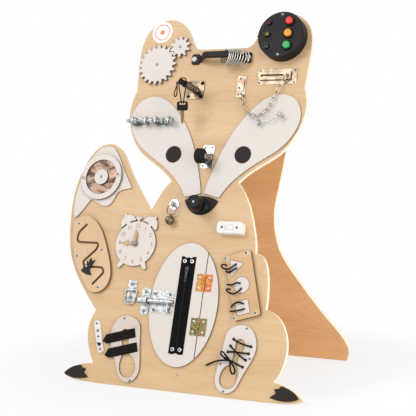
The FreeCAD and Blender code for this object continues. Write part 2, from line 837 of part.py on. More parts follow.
def spring_stop():
    u, v = STOP_CENTRE
    half = STOP_PLATE / 2
    plate = rounded(u - half, u + half, v - half, v + half, 0, STOP_PLATE_T, 5)
    boss = turned([(0, 0), (STOP_BOSS_R, 0), (STOP_BOSS_R, STOP_BOSS_T * 0.6),
                   (STOP_BOSS_R - 2, STOP_BOSS_T), (STOP_PLUG_R, STOP_BOSS_T),
                   (STOP_PLUG_R, STOP_BOSS_T + STOP_PLUG_L), (0, STOP_BOSS_T + STOP_PLUG_L)],
                  0, 0, STOP_PLATE_T)
    boss = stop_tilt(boss)
    places = [(u + a * STOP_SCREW, v + b * STOP_SCREW) for a in (-1, 1) for b in (-1, 1)]
    plate = drilled(one(plate.fuse(boss)), places, PAN)
    plate = one(plate.cut(block(u - 40, u + 40, v - 40, v + 40, -20, 0)))
    start = STOP_PLATE_T + STOP_BOSS_T + COIL_WIRE_R + GAP
    spring = coil()
    spring.translate(V(0, 0, start))
    end = start + COIL_TURNS * COIL_PITCH + COIL_WIRE_R + GAP
    tip = turned([(0, -STOP_PLUG_L), (STOP_PLUG_R, -STOP_PLUG_L), (STOP_PLUG_R, 0), (TIP_R, 0),
                  (TIP_R, TIP_L - 3), (TIP_R - 1, TIP_L - 1), (TIP_R - 3, TIP_L), (0, TIP_L)],
                 0, 0, end)
    return plate, screws(places, STOP_PLATE_T, PAN), places, stop_tilt(spring), stop_tilt(tip), end


def key_frame(end):
    """Where the key's cord passes over the tip, and unit vectors there."""
    droop = math.radians(STOP_DROOP_DEG)
    along = V(0, -math.sin(droop), math.cos(droop))
    centre = V(STOP_CENTRE[0], STOP_CENTRE[1], 0) + along * (end + TIP_L * 0.45)
    return centre, along


def hung_key(end):
    """The key, its cord over the tip and the cord's side loop."""
    centre, along = key_frame(end)
    side = V(1, 0, 0)
    upward = along.cross(side).normalize()
    reach = TIP_R + CORD_R + GAP
    eye = centre + PLUMB * (KEY_DROP - KEY_HEAD_H * 0.25)
    route = [eye + side * -2.2, centre + PLUMB * 38 + side * -3.6,
             centre + PLUMB * 21 + side * -6.6, centre + PLUMB * 9 + side * (-reach - 0.9),
             centre + upward * 6 + side * (-reach - 0.6),
             centre + upward * (reach + 2.2) + side * -5.5,
             centre + upward * (reach + 2.2) + side * 5.5,
             centre + upward * 6 + side * (reach + 0.6),
             centre + PLUMB * 9 + side * (reach + 0.9), centre + PLUMB * 21 + side * 6.6,
             centre + PLUMB * 38 + side * 3.6, eye + side * 2.2]
    cord = tube(route, CORD_R, "key cord")
    knot = centre + side * (-reach - 3.2) + upward * 2
    loop_route = [knot + PLUMB * 2, knot + PLUMB * 13 + side * -5, knot + PLUMB * 25 + side * -10,
                  knot + PLUMB * 34 + side * -9.5, knot + PLUMB * 33 + side * -4.5,
                  knot + PLUMB * 22 + side * -0.5 + along * 3, knot + PLUMB * 9 + along * 5.5,
                  knot + PLUMB * 1 + along * 6]
    loop = tube(loop_route, CORD_R, "cord side loop")
    head = rounded(-KEY_HEAD_W / 2, KEY_HEAD_W / 2, -KEY_HEAD_H, 0, -KEY_HEAD_T / 2, KEY_HEAD_T, 5)
    head = one(head.cut(rounded(-9, 9, -7.5, -3.2, -KEY_HEAD_T, 2 * KEY_HEAD_T, 2)))
    tip = -KEY_HEAD_H - KEY_BLADE_L
    half = KEY_BLADE_W / 2
    blade = raised(polygon([(-half, -KEY_HEAD_H + 6), (-half, -KEY_HEAD_H - 14), (-half + 1, tip + 2),
                            (-half + 2.2, tip), (half - 2.6, tip), (half - 1.8, tip + 4),
                            (half - 2.6, tip + 7), (half - 1.2, tip + 10), (half - 2, tip + 13),
                            (half, -KEY_HEAD_H - 14), (half, -KEY_HEAD_H + 6)]),
                   -KEY_BLADE_T / 2, KEY_BLADE_T)
    head = one(head.cut(blade))
    turn = FreeCAD.Placement(centre + PLUMB * (KEY_DROP - KEY_HEAD_H * 0.5),
                             FreeCAD.Rotation(V(1, 0, 0), LEAN_DEG))
    for shape in (head, blade):
        shape.Placement = turn.multiply(shape.Placement)
    return [one(cord.cut(head)), loop], [head, blade]


# Door chain

def link(a, b, upright, length):
    """One stadium-shaped link from a towards b."""
    middle = (a + b) * 0.5
    along = (b - a).normalize()
    flat = along.cross(OUT).normalize()
    cross = OUT if upright else flat
    half = length / 2 - LINK_W / 2
    bend = LINK_W / 2 - LINK_WIRE_R
    p1 = middle - along * half - cross * bend
    p2 = middle + along * half - cross * bend
    p3 = middle + along * (half + bend)
    p4 = middle + along * half + cross * bend
    p5 = middle - along * half + cross * bend
    p6 = middle - along * (half + bend)
    path = Part.Wire([Part.LineSegment(p1, p2).toShape(), Part.Arc(p2, p3, p4).toShape(),
                      Part.LineSegment(p4, p5).toShape(), Part.Arc(p5, p6, p1).toShape()])
    section = Part.Wire(Part.makeCircle(LINK_WIRE_R, p1, along))
    shell = Part.BRepOffsetAPI.MakePipeShell(path)
    shell.add(section)
    shell.build()
    shell.makeSolid()
    return shell.shape()


def door_chain():
    """The slotted plate, its slider, the anchor plate and the links between them."""
    u, v = CHAIN_PLATE
    plate = rounded(u - CHAIN_PLATE_W / 2, u + CHAIN_PLATE_W / 2, v - CHAIN_PLATE_H / 2,
                    v + CHAIN_PLATE_H / 2, 0, CHAIN_PLATE_T, 3)
    c0, c1 = CHANNEL_U
    low, high = CHAIN_SLOT_V - CHANNEL_H / 2, CHAIN_SLOT_V + CHANNEL_H / 2
    wall = CHANNEL_WALL
    body = plate.fuse(block(c0, c1, low, high, 0, CHANNEL_RISE))
    body = body.cut(block(c0 + wall, c1 - wall, low + wall, high - wall, 0.6,
                          CHANNEL_RISE - wall))
    slot = rounded(CHAIN_SLOT_U[0] - CHAIN_SLOT_W / 2, CHAIN_SLOT_U[1] + CHAIN_SLOT_W / 2,
                   CHAIN_SLOT_V - CHAIN_SLOT_W / 2, CHAIN_SLOT_V + CHAIN_SLOT_W / 2,
                   CHANNEL_RISE - wall - 1, wall + 3, CHAIN_SLOT_W / 2 - 0.1)
    places = [(u + a * (CHAIN_PLATE_W / 2 - 6), v + b * (CHAIN_PLATE_H / 2 - 4.2))
              for a in (-1, 1) for b in (-1, 1)]
    plate = drilled(one(body.cut(slot)), places, SMALL)
    s = CHAIN_SLOT_V
    slider = turned([(0, 1.2), (4.6, 1.2), (4.6, 3.6), (2.1, 3.6), (2.1, CHANNEL_RISE + GAP),
                     (SLIDER_DISC_R, CHANNEL_RISE + GAP), (SLIDER_DISC_R, CHANNEL_RISE + 1.6),
                     (SLIDER_POST_R, CHANNEL_RISE + 1.9), (SLIDER_POST_R, SLIDER_POST_H - 1.4),
                     (SLIDER_POST_R + 1.6, SLIDER_POST_H - 1.2),
                     (SLIDER_POST_R + 1.2, SLIDER_POST_H), (0, SLIDER_POST_H)], SLIDER_U, s, 0)
    au, av = ANCHOR_CENTRE
    anchor = rounded(au - ANCHOR_W / 2, au + ANCHOR_W / 2, av - ANCHOR_H / 2, av + ANCHOR_H / 2,
                     0, CHAIN_PLATE_T, 2)
    rib = rounded(au + 2.5, au + 7.5, av - 12, av + 16, 0, CHAIN_PLATE_T + 2.4, 2.2)
    post = turned([(0, 0), (SLIDER_POST_R, 0), (SLIDER_POST_R, SLIDER_POST_H - 1.4),
                   (SLIDER_POST_R + 1.6, SLIDER_POST_H - 1.2), (SLIDER_POST_R + 1.2, SLIDER_POST_H),
                   (0, SLIDER_POST_H)], ANCHOR_POST[0], ANCHOR_POST[1], 0)
    anchor_places = [(au - 4, av + 19), (au - 5, av - 3), (au - 5, av - 19)]
    anchor = drilled(one(fused([anchor, rib, post])), anchor_places, SMALL)
    hang = [V(a, b, CHAIN_LIFT) for a, b in CHAIN_SWAG]
    first = V(SLIDER_U, s, CHAIN_LIFT)
    last = V(ANCHOR_POST[0], ANCHOR_POST[1], CHAIN_LIFT)
    past = SLIDER_POST_R + FIT - LINK_SLACK / 2 + LINK_WIRE_R / 10
    first += (first - hang[0]).normalize() * past
    last += (last - hang[-1]).normalize() * past
    swag = Part.BSplineCurve()
    swag.interpolate([first] + hang + [last])
    stops = swag.toShape().discretize(LINK_COUNT + 1)
    step = (stops[1] - stops[0]).Length
    length = step + 4 * LINK_WIRE_R + LINK_SLACK
    links = []
    for k in range(LINK_COUNT):
        links.append(link(stops[k], stops[k + 1], k % 2 == 1, length))
    print(f"chain: {LINK_COUNT} links, pitch {step:.2f}, link {length:.1f}")
    return plate, places, slider, anchor, anchor_places, links


# Bolt row on the left cheek

def bolt_row():
    """Two U brackets, a hex bolt through their four ears, nuts, washers and a wing nut."""
    base = OVERLAY_T
    brackets = []
    places = []
    for centre in BRACKETS_U:
        solid = rounded(centre - BRACKET_L / 2, centre + BRACKET_L / 2, BOLT_V - BRACKET_W / 2,
                        BOLT_V + BRACKET_W / 2, base, BRACKET_T, 1.5)
        for end in (-1, 1):
            u0 = centre + end * (BRACKET_L / 2 - BRACKET_T / 2)
            ear = block(u0 - BRACKET_T / 2, u0 + BRACKET_T / 2, BOLT_V - BRACKET_W / 2,
                        BOLT_V + BRACKET_W / 2, base, base + BRACKET_EAR_H)
            tops = [e for e in ear.Edges if abs(e.tangentAt(e.FirstParameter).x) > 0.9
                    and e.CenterOfMass.z > base + 1]
            solid = solid.fuse(ear.makeFillet(6, tops))
        bore = Part.makeCylinder(BOLT_R + FIT, BRACKET_L + 4,
                                 V(centre - BRACKET_L / 2 - 2, BOLT_V, base + BOLT_H), V(1, 0, 0))
        here = [(centre - 8, BOLT_V), (centre + 8, BOLT_V)]
        places += here
        brackets.append(drilled(one(solid.cut(bore)), here, SMALL))
    axis_h = base + BOLT_H

    def on_bolt(shape, u):
        shape.rotate(V(0, 0, 0), V(0, 1, 0), 90)
        shape.translate(V(u, BOLT_V, axis_h))
        return shape

    head = polygon(hexagon(BOLT_HEAD_AF)).extrude(V(0, 0, BOLT_HEAD_T))
    rod = Part.makeCylinder(BOLT_R, BOLT_HEAD_U - BOLT_TIP_U)
    rod.translate(V(0, 0, BOLT_TIP_U - BOLT_HEAD_U))
    bolt = [on_bolt(one(head.fuse(rod)), BOLT_HEAD_U)]
    left, right = BRACKETS_U
    inner = BRACKET_L / 2 - BRACKET_T
    nuts = [left - inner + WASHER_T + GAP, left + inner - WASHER_T - NUT_T - GAP,
            right - NUT_T / 2, left - BRACKET_L / 2 - NUT_T - WASHER_T - 2 * GAP]
    for u in nuts:
        nut = polygon(hexagon(NUT_AF)).extrude(V(0, 0, NUT_T))
        nut = nut.cut(Part.makeCylinder(BOLT_R + FIT, NUT_T + 2, V(0, 0, -1), OUT))
        bolt.append(on_bolt(one(nut), u))
    washers = [left - inner + GAP / 2, left + inner - WASHER_T - GAP / 2,
               left - BRACKET_L / 2 - WASHER_T - GAP / 2, right - BRACKET_L / 2 - WASHER_T - GAP,
               right + inner - WASHER_T - GAP]
    for u in washers:
        washer = Part.makeCylinder(WASHER_R, WASHER_T).cut(Part.makeCylinder(BOLT_R + FIT, WASHER_T))
        bolt.append(on_bolt(one(washer), u))
    hub = turned([(BOLT_R + FIT, 0), (WING_HUB_R, 0), (WING_HUB_R - 1.2, WING_HUB_L),
                  (BOLT_R + FIT, WING_HUB_L)], 0, 0, 0)
    wings = []
    for side in (-1, 1):
        wing = face_from((side * (WING_HUB_R - 1.6), 0.8),
                         [[(side * (WING_SPAN - 2), 3), (side * WING_SPAN, 7),
                           (side * (WING_SPAN - 2), 11), (side * (WING_HUB_R - 1.6), 6.5)],
                          [(side * (WING_HUB_R - 1.6), 0.8)]]).extrude(V(0, 0, WING_T))
        wing.rotate(V(0, 0, 0), V(1, 0, 0), 90)
        wing.translate(V(0, WING_T / 2, 0))
        wings.append(wing)
    nut = one(fused([hub] + wings))
    nut = one(nut.cut(Part.makeCylinder(BOLT_R + FIT, 30, V(0, 0, -5), OUT)))
    nut.rotate(V(0, 0, 0), OUT, 35)
    return brackets, places, bolt, on_bolt(nut, WING_U)


# Right ear box

def ear_box():
    """Base shell, lid with bezels, lamps, push buttons, and the battery holder inside."""
    u, v = BOX_CENTRE
    shell = disc(u, v, 0, BOX_R, BOX_H - BOX_LID_T)
    shell = shell.cut(disc(u, v, BOX_WALL, BOX_R - BOX_WALL, BOX_H))
    posts = [(u, v + BOX_SCREW_R), (u, v - BOX_SCREW_R)]
    for pu, pv in posts:
        shell = shell.fuse(disc(pu, pv, 0, BOX_POST_R, BOX_H - BOX_LID_T))
    shell = one(shell.common(disc(u, v, 0, BOX_R, BOX_H)).removeSplitter())
    fixing = [(u - 30, v), (u + 30, v)]
    shell = drilled(drilled(shell, posts, PAN), fixing, PAN)
    lid = disc(u, v, BOX_H - BOX_LID_T, BOX_R, BOX_LID_T)
    rim = [e for e in lid.Edges if e.CenterOfMass.z > BOX_H - 0.1 and len(e.Vertexes) < 3
           and e.Length > 100]
    lid = lid.makeFillet(BOX_LIP, rim)
    rows = [v + dv for dv in ROW_V]
    lamp_u, button_u = u + LAMP_U, u + BUTTON_U
    bezels = []
    lamps = []
    buttons = []
    for row in rows:
        lid = lid.cut(disc(lamp_u, row, 0, LAMP_R + FIT, 60))
        lid = lid.cut(disc(button_u, row, 0, BUTTON_R + 2 * GAP, 60))
        bezels.append(turned([(LAMP_R + FIT, 0), (LAMP_BEZEL_R, 0), (LAMP_BEZEL_R, BEZEL_T * 0.6),
                              (LAMP_BEZEL_R - 1.2, BEZEL_T), (LAMP_BEZEL_R - 2, BEZEL_T),
                              (LAMP_R + FIT, 1.5)], lamp_u, row, BOX_H))
        bezels.append(turned([(BUTTON_R + 2 * GAP, 0), (BUTTON_BEZEL_R, 0),
                              (BUTTON_BEZEL_R, BEZEL_T * 0.5), (BUTTON_BEZEL_R - 1.4, BEZEL_T * 0.8),
                              (BUTTON_R + 2 * GAP, BEZEL_T * 0.8)], button_u, row, BOX_H))
        lamps.append(turned([(0, -BOX_LID_T - 5), (LAMP_R - 0.6, -BOX_LID_T - 5),
                             (LAMP_R, -BOX_LID_T - 3), (LAMP_R, 2.2), (LAMP_R * 0.8, 4),
                             (LAMP_R * 0.4, 5.2), (0, 5.5)], lamp_u, row, BOX_H))
        buttons.append(turned([(0, -BOX_LID_T - BUTTON_FLANGE_T - GAP),
                               (BUTTON_R + 1.6, -BOX_LID_T - BUTTON_FLANGE_T - GAP),
                               (BUTTON_R + 1.6, -BOX_LID_T - GAP), (BUTTON_R, -BOX_LID_T - GAP),
                               (BUTTON_R, BEZEL_T * 0.8 + BUTTON_RISE - 1.5),
                               (BUTTON_R - 1.2, BEZEL_T * 0.8 + BUTTON_RISE - 0.3),
                               (0, BEZEL_T * 0.8 + BUTTON_RISE)], button_u, row, BOX_H))
    lid = drilled(one(lid), posts, PAN)
    contact_h = BOX_WALL + 1.6
    holder = [block(u - 12, u + 4, v - CELL_L / 2 - 2, v + CELL_L / 2 + 2, BOX_WALL, contact_h)]
    switches = []
    for row in rows:
        top = BOX_H - BOX_LID_T - GAP - BUTTON_FLANGE_T - BUTTON_TRAVEL - 2 * GAP
        switches.append(block(button_u - 3, button_u + 3, row - 3, row + 3, BOX_WALL, top))
    cell = Part.makeCylinder(CELL_R, CELL_L, V(u - 4, v - CELL_L / 2, contact_h + CELL_R),
                             V(0, 1, 0))
    return dict(shell=shell, lid=[lid] + bezels, lamps=lamps, buttons=buttons,
                inside=holder + switches + [cell], lid_places=posts, shell_places=fixing)


# Hook and eye, bell eye

def screw_eye(u, v, out, r, wire_r, axis):
    """A screw eye whose ring stands out from the board, turning about the given axis."""
    eye = ring(V(u, v, out), axis, r, wire_r)
    stem = Part.makeCylinder(wire_r, out - r + BITE, V(u, v, -BITE), OUT)
    return one(eye.fuse(stem))


def latch():
    """Assembles the hook and eye so that the hook lifts up and out of the right eye."""
    up = V(0, 1, 0)
    base = OVERLAY_T
    level = base + HOOK_H
    lu, lv = EYE_LEFT
    ru, rv = EYE_RIGHT
    left = screw_eye(lu, lv, level, EYE_R, EYE_WIRE_R, V(1, 0, 0))
    right = screw_eye(ru, rv, level, EYE_R, EYE_WIRE_R, up)
    shift = EYE_R
    hook_ring = ring(V(lu, lv + shift, level), OUT, HOOK_RING_R, HOOK_WIRE_R)
    ring_v = lv + shift
    route = [V(lu + HOOK_RING_R, ring_v, level), V(ru - 22, ring_v - 3, level),
             V(ru - 9, rv + 9, level), V(ru, rv + 9, level), V(ru, rv - HOOK_TIP_DROP, level)]
    shank = tube(route, HOOK_WIRE_R, "latch hook")
    return [left, right], one(hook_ring.fuse(shank)), (lu, ring_v)


def bell():
    """A washer and screw eye, a split ring and a round bell with a loose ball."""
    u, v = BELL_EYE
    washer = turned([(BELL_EYE_WIRE_R + FIT, 0), (BELL_WASHER_R, 0),
                     (BELL_WASHER_R - 1, BELL_WASHER_T), (BELL_EYE_WIRE_R + FIT, BELL_WASHER_T)],
                    u, v, 0)
    out = BELL_WASHER_T + GAP + BELL_EYE_RING_R + BELL_EYE_WIRE_R
    eye = screw_eye(u, v, out, BELL_EYE_RING_R, BELL_EYE_WIRE_R, V(1, 0, 0))
    ring_v = v - BELL_EYE_RING_R - SPLIT_RING_R + BELL_EYE_WIRE_R + SPLIT_WIRE_R + GAP + 0.6
    split = ring(V(u, ring_v, out), OUT, SPLIT_RING_R, SPLIT_WIRE_R)
    slack = BELL_LUG_R - BELL_LUG_WIRE_R - SPLIT_WIRE_R - FIT
    lug_v = ring_v - SPLIT_RING_R - slack
    bell_h = BELL_R + GAP
    crown = math.sqrt(BELL_R ** 2 - (bell_h - out) ** 2)
    bell_v = lug_v - BELL_LUG_R - crown + BELL_LUG_WIRE_R
    shell = Part.makeSphere(BELL_R, V(u, bell_v, bell_h))
    shell = shell.cut(Part.makeSphere(BELL_R - BELL_WALL, V(u, bell_v, bell_h)))
    shell = shell.cut(block(u - 0.9, u + 0.9, bell_v - 20, bell_v - 1, 0, 3 * BELL_R))
    shell = shell.cut(block(u - BELL_R * 0.6, u + BELL_R * 0.6, bell_v - 20, bell_v - 3,
                            bell_h - 0.9, bell_h + 0.9))
    lug = ring(V(u, lug_v, out), V(1, 0, 0), BELL_LUG_R, BELL_LUG_WIRE_R)
    shell = one(one(shell).fuse(lug))
    shell = one(shell.cut(Part.makeSphere(BELL_R - BELL_WALL, V(u, bell_v, bell_h))))
    ball = Part.makeSphere(BELL_BALL_R, V(u, bell_v, bell_h - BELL_R + BELL_WALL + BELL_BALL_R + GAP))
    return [washer, eye], [split, shell, ball], (u, v - BELL_EYE_RING_R, out)


# Caster

def caster():
    u, v = CASTER_CENTRE
    plate = rounded(u - CASTER_PLATE_W / 2, u + CASTER_PLATE_W / 2, v - CASTER_PLATE_H / 2,
                    v + CASTER_PLATE_H / 2, 0, CASTER_PLATE_T, 5)
    race_top = CASTER_PLATE_T + CASTER_RACE_T
    race = turned([(KINGPIN_R, 0), (CASTER_RACE_R + 1, 0), (CASTER_RACE_R, 2.2), (KINGPIN_R, 2.2)],
                  u, v, CASTER_PLATE_T)
    fork_h = race_top + GAP
    pin = turned([(0, 0), (KINGPIN_R, 0), (KINGPIN_R, fork_h - CASTER_PLATE_T + FORK_T + GAP),
                  (KINGPIN_R + 1.6, fork_h - CASTER_PLATE_T + FORK_T + GAP),
                  (KINGPIN_R + 1, fork_h - CASTER_PLATE_T + FORK_T + 2),
                  (0, fork_h - CASTER_PLATE_T + FORK_T + 2)], u, v, CASTER_PLATE_T)
    places = [(u + a * (CASTER_PLATE_W / 2 - 5.5), v + b * (CASTER_PLATE_H / 2 - 5.5))
              for a in (-1, 1) for b in (-1, 1)]
    plate = drilled(one(fused([plate, race, pin])), places, SMALL)
    half = WHEEL_W / 2 + FORK_GAP
    outer = half + FORK_T
    axle_v = v - CASTER_TRAIL
    cap = turned([(KINGPIN_R + FIT, 0), (CASTER_RACE_R, 0), (outer + 1, FORK_T),
                  (KINGPIN_R + FIT, FORK_T)], u, v, fork_h)
    collar = turned([(KINGPIN_R + FIT, 0), (CASTER_RACE_R - 2, 0), (CASTER_RACE_R - 2, 2.9),
                     (KINGPIN_R + FIT, 2.9)], u, v, fork_h - 2.5)
    legs = [cap, collar]
    for side in (-1, 1):
        leg = polygon([(v + 8, fork_h), (v + 6, fork_h + FORK_T), (axle_v + 5, WHEEL_OUT + 4),
                       (axle_v - 2, WHEEL_OUT + 5), (axle_v - 6, WHEEL_OUT),
                       (v - 12, fork_h + FORK_T), (v - 12, fork_h)]).extrude(V(0, 0, FORK_T))
        leg.Placement = FreeCAD.Placement(V(u + side * half - (FORK_T if side < 0 else 0), 0, 0),
                                          FreeCAD.Rotation(V(0, 0, 1), V(1, 0, 0)))
        turn = FreeCAD.Matrix(0, 0, 1, u + (half if side > 0 else -half - FORK_T),
                              1, 0, 0, 0,
                              0, 1, 0, 0,
                              0, 0, 0, 1)
        leg.Placement = FreeCAD.Placement(turn)
        legs.append(leg)
    bridge = block(u - outer, u + outer, v - 12, v + 8, fork_h, fork_h + FORK_T)
    fork = fused(legs + [bridge])
    fork = fork.cut(disc(u, v, 0, KINGPIN_R + FIT, fork_h + FORK_T + 1))
    fork = fork.cut(Part.makeCylinder(WHEEL_AXLE_R, 2 * outer + 4, V(u - outer - 2, axle_v, WHEEL_OUT),
                                      V(1, 0, 0)))
    axle = Part.makeCylinder(WHEEL_AXLE_R, 2 * outer + 1.6, V(u - outer - 0.8, axle_v, WHEEL_OUT),
                             V(1, 0, 0))
    profile = [(WHEEL_AXLE_R + FIT, -WHEEL_W / 2), (WHEEL_R - 1.6, -WHEEL_W / 2),
               (WHEEL_R, -WHEEL_W / 2 + 1.8), (WHEEL_R, WHEEL_W / 2 - 1.8),
               (WHEEL_R - 1.6, WHEEL_W / 2), (WHEEL_AXLE_R + FIT, WHEEL_W / 2)]
    wheel = turned(profile, 0, 0, 0)
    wheel.rotate(V(0, 0, 0), V(0, 1, 0), 90)
    wheel.translate(V(u, axle_v, WHEEL_OUT))
    return plate, places, [one(fork), axle], wheel


def nose_knob():
    """A turned knob on the black nose patch, held by a screw from behind its face."""
    u, v = KNOB_CENTRE
    base = OVERLAY_T + GAP
    r0, rn, rb, rf = KNOB_FLANGE_R, KNOB_NECK_R, KNOB_BULB_R, KNOB_FACE_R
    high = KNOB_L
    profile = [(2.1, 0), (r0, 0), (r0, 2.4), (r0 - 2.2, 4.2), (rn, 8), (rn - 0.8, 13), (rn, 18),
               (rb - 2, 23), (rb, 27), (rb, 32), (rb - 0.8, 35), (rf + 0.4, 37), (rf, high - 2),
               (rf - 1.8, high), (rf - 5, high), (rf - 6, high - 1.6), (5.2, high - 1.6),
               (4.4, high - 4), (2.1, high - 4)]
    knob = turned(profile, u, v, base)
    head_h = base + high - 4 + GAP
    pin = turned([(0, -BITE), (2.0, -BITE), (2.0, head_h), (3.9, head_h), (3.4, head_h + 1.8),
                  (0, head_h + 2.2)], u, v, 0)
    return knob, pin


# Switch

def switch():
    u, v = SWITCH_CENTRE
    body = rounded(u - SWITCH_L / 2, u + SWITCH_L / 2, v - SWITCH_W / 2, v + SWITCH_W / 2, 0,
                   SWITCH_H, SWITCH_CORNER)
    rim = [e for e in body.Edges if e.CenterOfMass.z > SWITCH_H - 0.1]
    body = body.makeFillet(3.0, rim)
    hollow = rounded(u - SWITCH_L / 2 + 2.2, u + SWITCH_L / 2 - 2.2, v - SWITCH_W / 2 + 2.2,
                     v + SWITCH_W / 2 - 2.2, -1, SWITCH_H - 3, SWITCH_CORNER - 2.2)
    posts = [disc(u + side * SWITCH_SCREW, v, 0, 4.2, SWITCH_H - 2) for side in (-1, 1)]
    tilt = math.radians(ROCKER_TILT_DEG)
    reach = ROCKER_L / 2 * math.cos(tilt) + ROCKER_TOP * math.sin(tilt) + GAP
    window = block(u - reach, u + reach, v - ROCKER_W / 2 - GAP, v + ROCKER_W / 2 + GAP,
                   SWITCH_H - 9, SWITCH_H + 5)
    body = body.cut(hollow)
    for post in posts:
        body = body.fuse(post)
    places = [(u + side * SWITCH_SCREW, v) for side in (-1, 1)]
    pivot_h = SWITCH_H - 4.5
    pivot = Part.makeCylinder(1.5 + FIT, ROCKER_W + 8, V(u, v - ROCKER_W / 2 - 4, pivot_h),
                              V(0, 1, 0))
    cheeks = [block(u - 4, u + 4, v + s - 1.2, v + s + 1.2, SWITCH_H - 9, SWITCH_H - 2)
              for s in (-ROCKER_W / 2 - 2.2, ROCKER_W / 2 + 2.2)]
    for cheek_block in cheeks:
        body = body.fuse(cheek_block)
    body = body.cut(window).cut(pivot)
    body = drilled(one(body), places, SMALL)
    for pu, pv in places:
        body = one(body.cut(disc(pu, pv, SWITCH_H - 1.4, 3.2, 3)))
    face = polygon([(-ROCKER_L / 2, -ROCKER_DEPTH), (ROCKER_L / 2, -ROCKER_DEPTH),
                    (ROCKER_L / 2, ROCKER_TOP), (0, ROCKER_TOP - 1.4),
                    (-ROCKER_L / 2, ROCKER_TOP)]).extrude(V(0, 0, ROCKER_W))
    face.rotate(V(0, 0, 0), V(1, 0, 0), 90)
    face.translate(V(0, ROCKER_W / 2, 0))
    rocker = face.fuse(Part.makeCylinder(1.5, ROCKER_W + 6, V(0, -ROCKER_W / 2 - 3, 0), V(0, 1, 0)))
    rocker = one(rocker)
    rocker.rotate(V(0, 0, 0), V(0, 1, 0), ROCKER_TILT_DEG)
    rocker.translate(V(u, v, pivot_h))
    return one(body), places, rocker, (u, v, pivot_h)


# Tail ring and mirror disc

def tail_disc():
    u, v = TAIL_CENTRE
    base = OVERLAY_T
    ring_plate = disc(u, v, base, TAIL_RING_R, TAIL_RING_T)
    ring_plate = ring_plate.cut(disc(u, v, base - 1, TAIL_BORE_R, TAIL_RING_T + 2))
    places = [around(u, v, TAIL_SCREW_R, a) for a in TAIL_SCREW_DEG]
    ring_plate = drilled(one(ring_plate), places, SMALL)
    top = base + TAIL_RING_T
    sleeves = [turned([(SMALL["shank"] + FIT, 0), (SLEEVE_R, 0), (SLEEVE_R - 0.6, SLEEVE_T),
                       (SMALL["shank"] + FIT, SLEEVE_T)], a, b, top) for a, b in places]
    mirror = turned([(AXLE_R + FIT, 0), (TAIL_BORE_R - 0.5, 0), (TAIL_BORE_R - 0.5, MIRROR_T),
                     (AXLE_R + FIT, MIRROR_T)], u, v, base + GAP)
    hub = turned([(AXLE_R + FIT, 0), (MIRROR_HUB_R, 0), (MIRROR_HUB_R, MIRROR_HUB_T),
                  (AXLE_R + FIT, MIRROR_HUB_T)], u, v, base + GAP + MIRROR_T)
    head = base + 2 * GAP + MIRROR_T + MIRROR_HUB_T
    axle = turned([(0, -BITE), (AXLE_R, -BITE), (AXLE_R, head), (AXLE_HEAD_R, head),
                   (AXLE_HEAD_R * 0.6, head + AXLE_HEAD_T), (0, head + AXLE_HEAD_T)], u, v, 0)
    return ring_plate, sleeves, places, mirror, hub, axle


# Maze

def groove_cutter(points, width, depth, top):
    """A round-ended slot along a smooth line, cut down from the top."""
    line, bends = tube_path([V(u, v, 0) for u, v in points])
    print(f"groove: length {line.Length:.1f}, least bend {min(bends):.1f}")
    outline = line.makeOffset2D(width / 2)
    cutter = Part.Face(Part.Wire(Part.sortEdges(outline.Edges)[0])).extrude(V(0, 0, depth + 1))
    cutter.translate(V(0, 0, top - depth))
    return cutter


def maze():
    right = [(-268, 373), (-245, 350), (-229, 321), (-215, 290), (-205, 262), (-202.5, 238),
             (-209, 218), (-223, 206), (-237, 202.5)]
    left = [(-252, 206.5), (-272, 228), (-291, 252), (-306, 279), (-316, 310), (-323, 345),
            (-322, 366), (-312, 377), (-298, 381.5), (-283, 380.5)]
    panel = raised(face_from((-283, 380.5), [right, left]), 0, MAZE_T)
    panel = panel.cut(groove_cutter(GROOVE, GROOVE_W, GROOVE_D, MAZE_T))
    panel = drilled(one(panel), MAZE_SCREWS, CUPPED)
    u, v = RUNNER
    ears = [(3, 4), (5, 15), (8, 21), (10, 13), (20, 16), (13, 3)]
    skirt = [(9, -8), (15, -20), (0, -18), (-14, -11), (-8, -1)]
    shape = [(u + a, v + b) for a, b in [(-1, 5), (-1, 14)] + ears + skirt]
    figure = raised(polygon(shape), MAZE_T + GAP, RUNNER_T)
    pin = disc(u, v, MAZE_T - GROOVE_D + GAP, RUNNER_PIN_R, GROOVE_D)
    cap = turned([(0, 0), (3.2, 0), (3.0, 1.0), (1.8, 1.8), (0, 2.0)], u, v, MAZE_T + GAP + RUNNER_T)
    return panel, one(fused([figure, pin, cap]))


# Clock

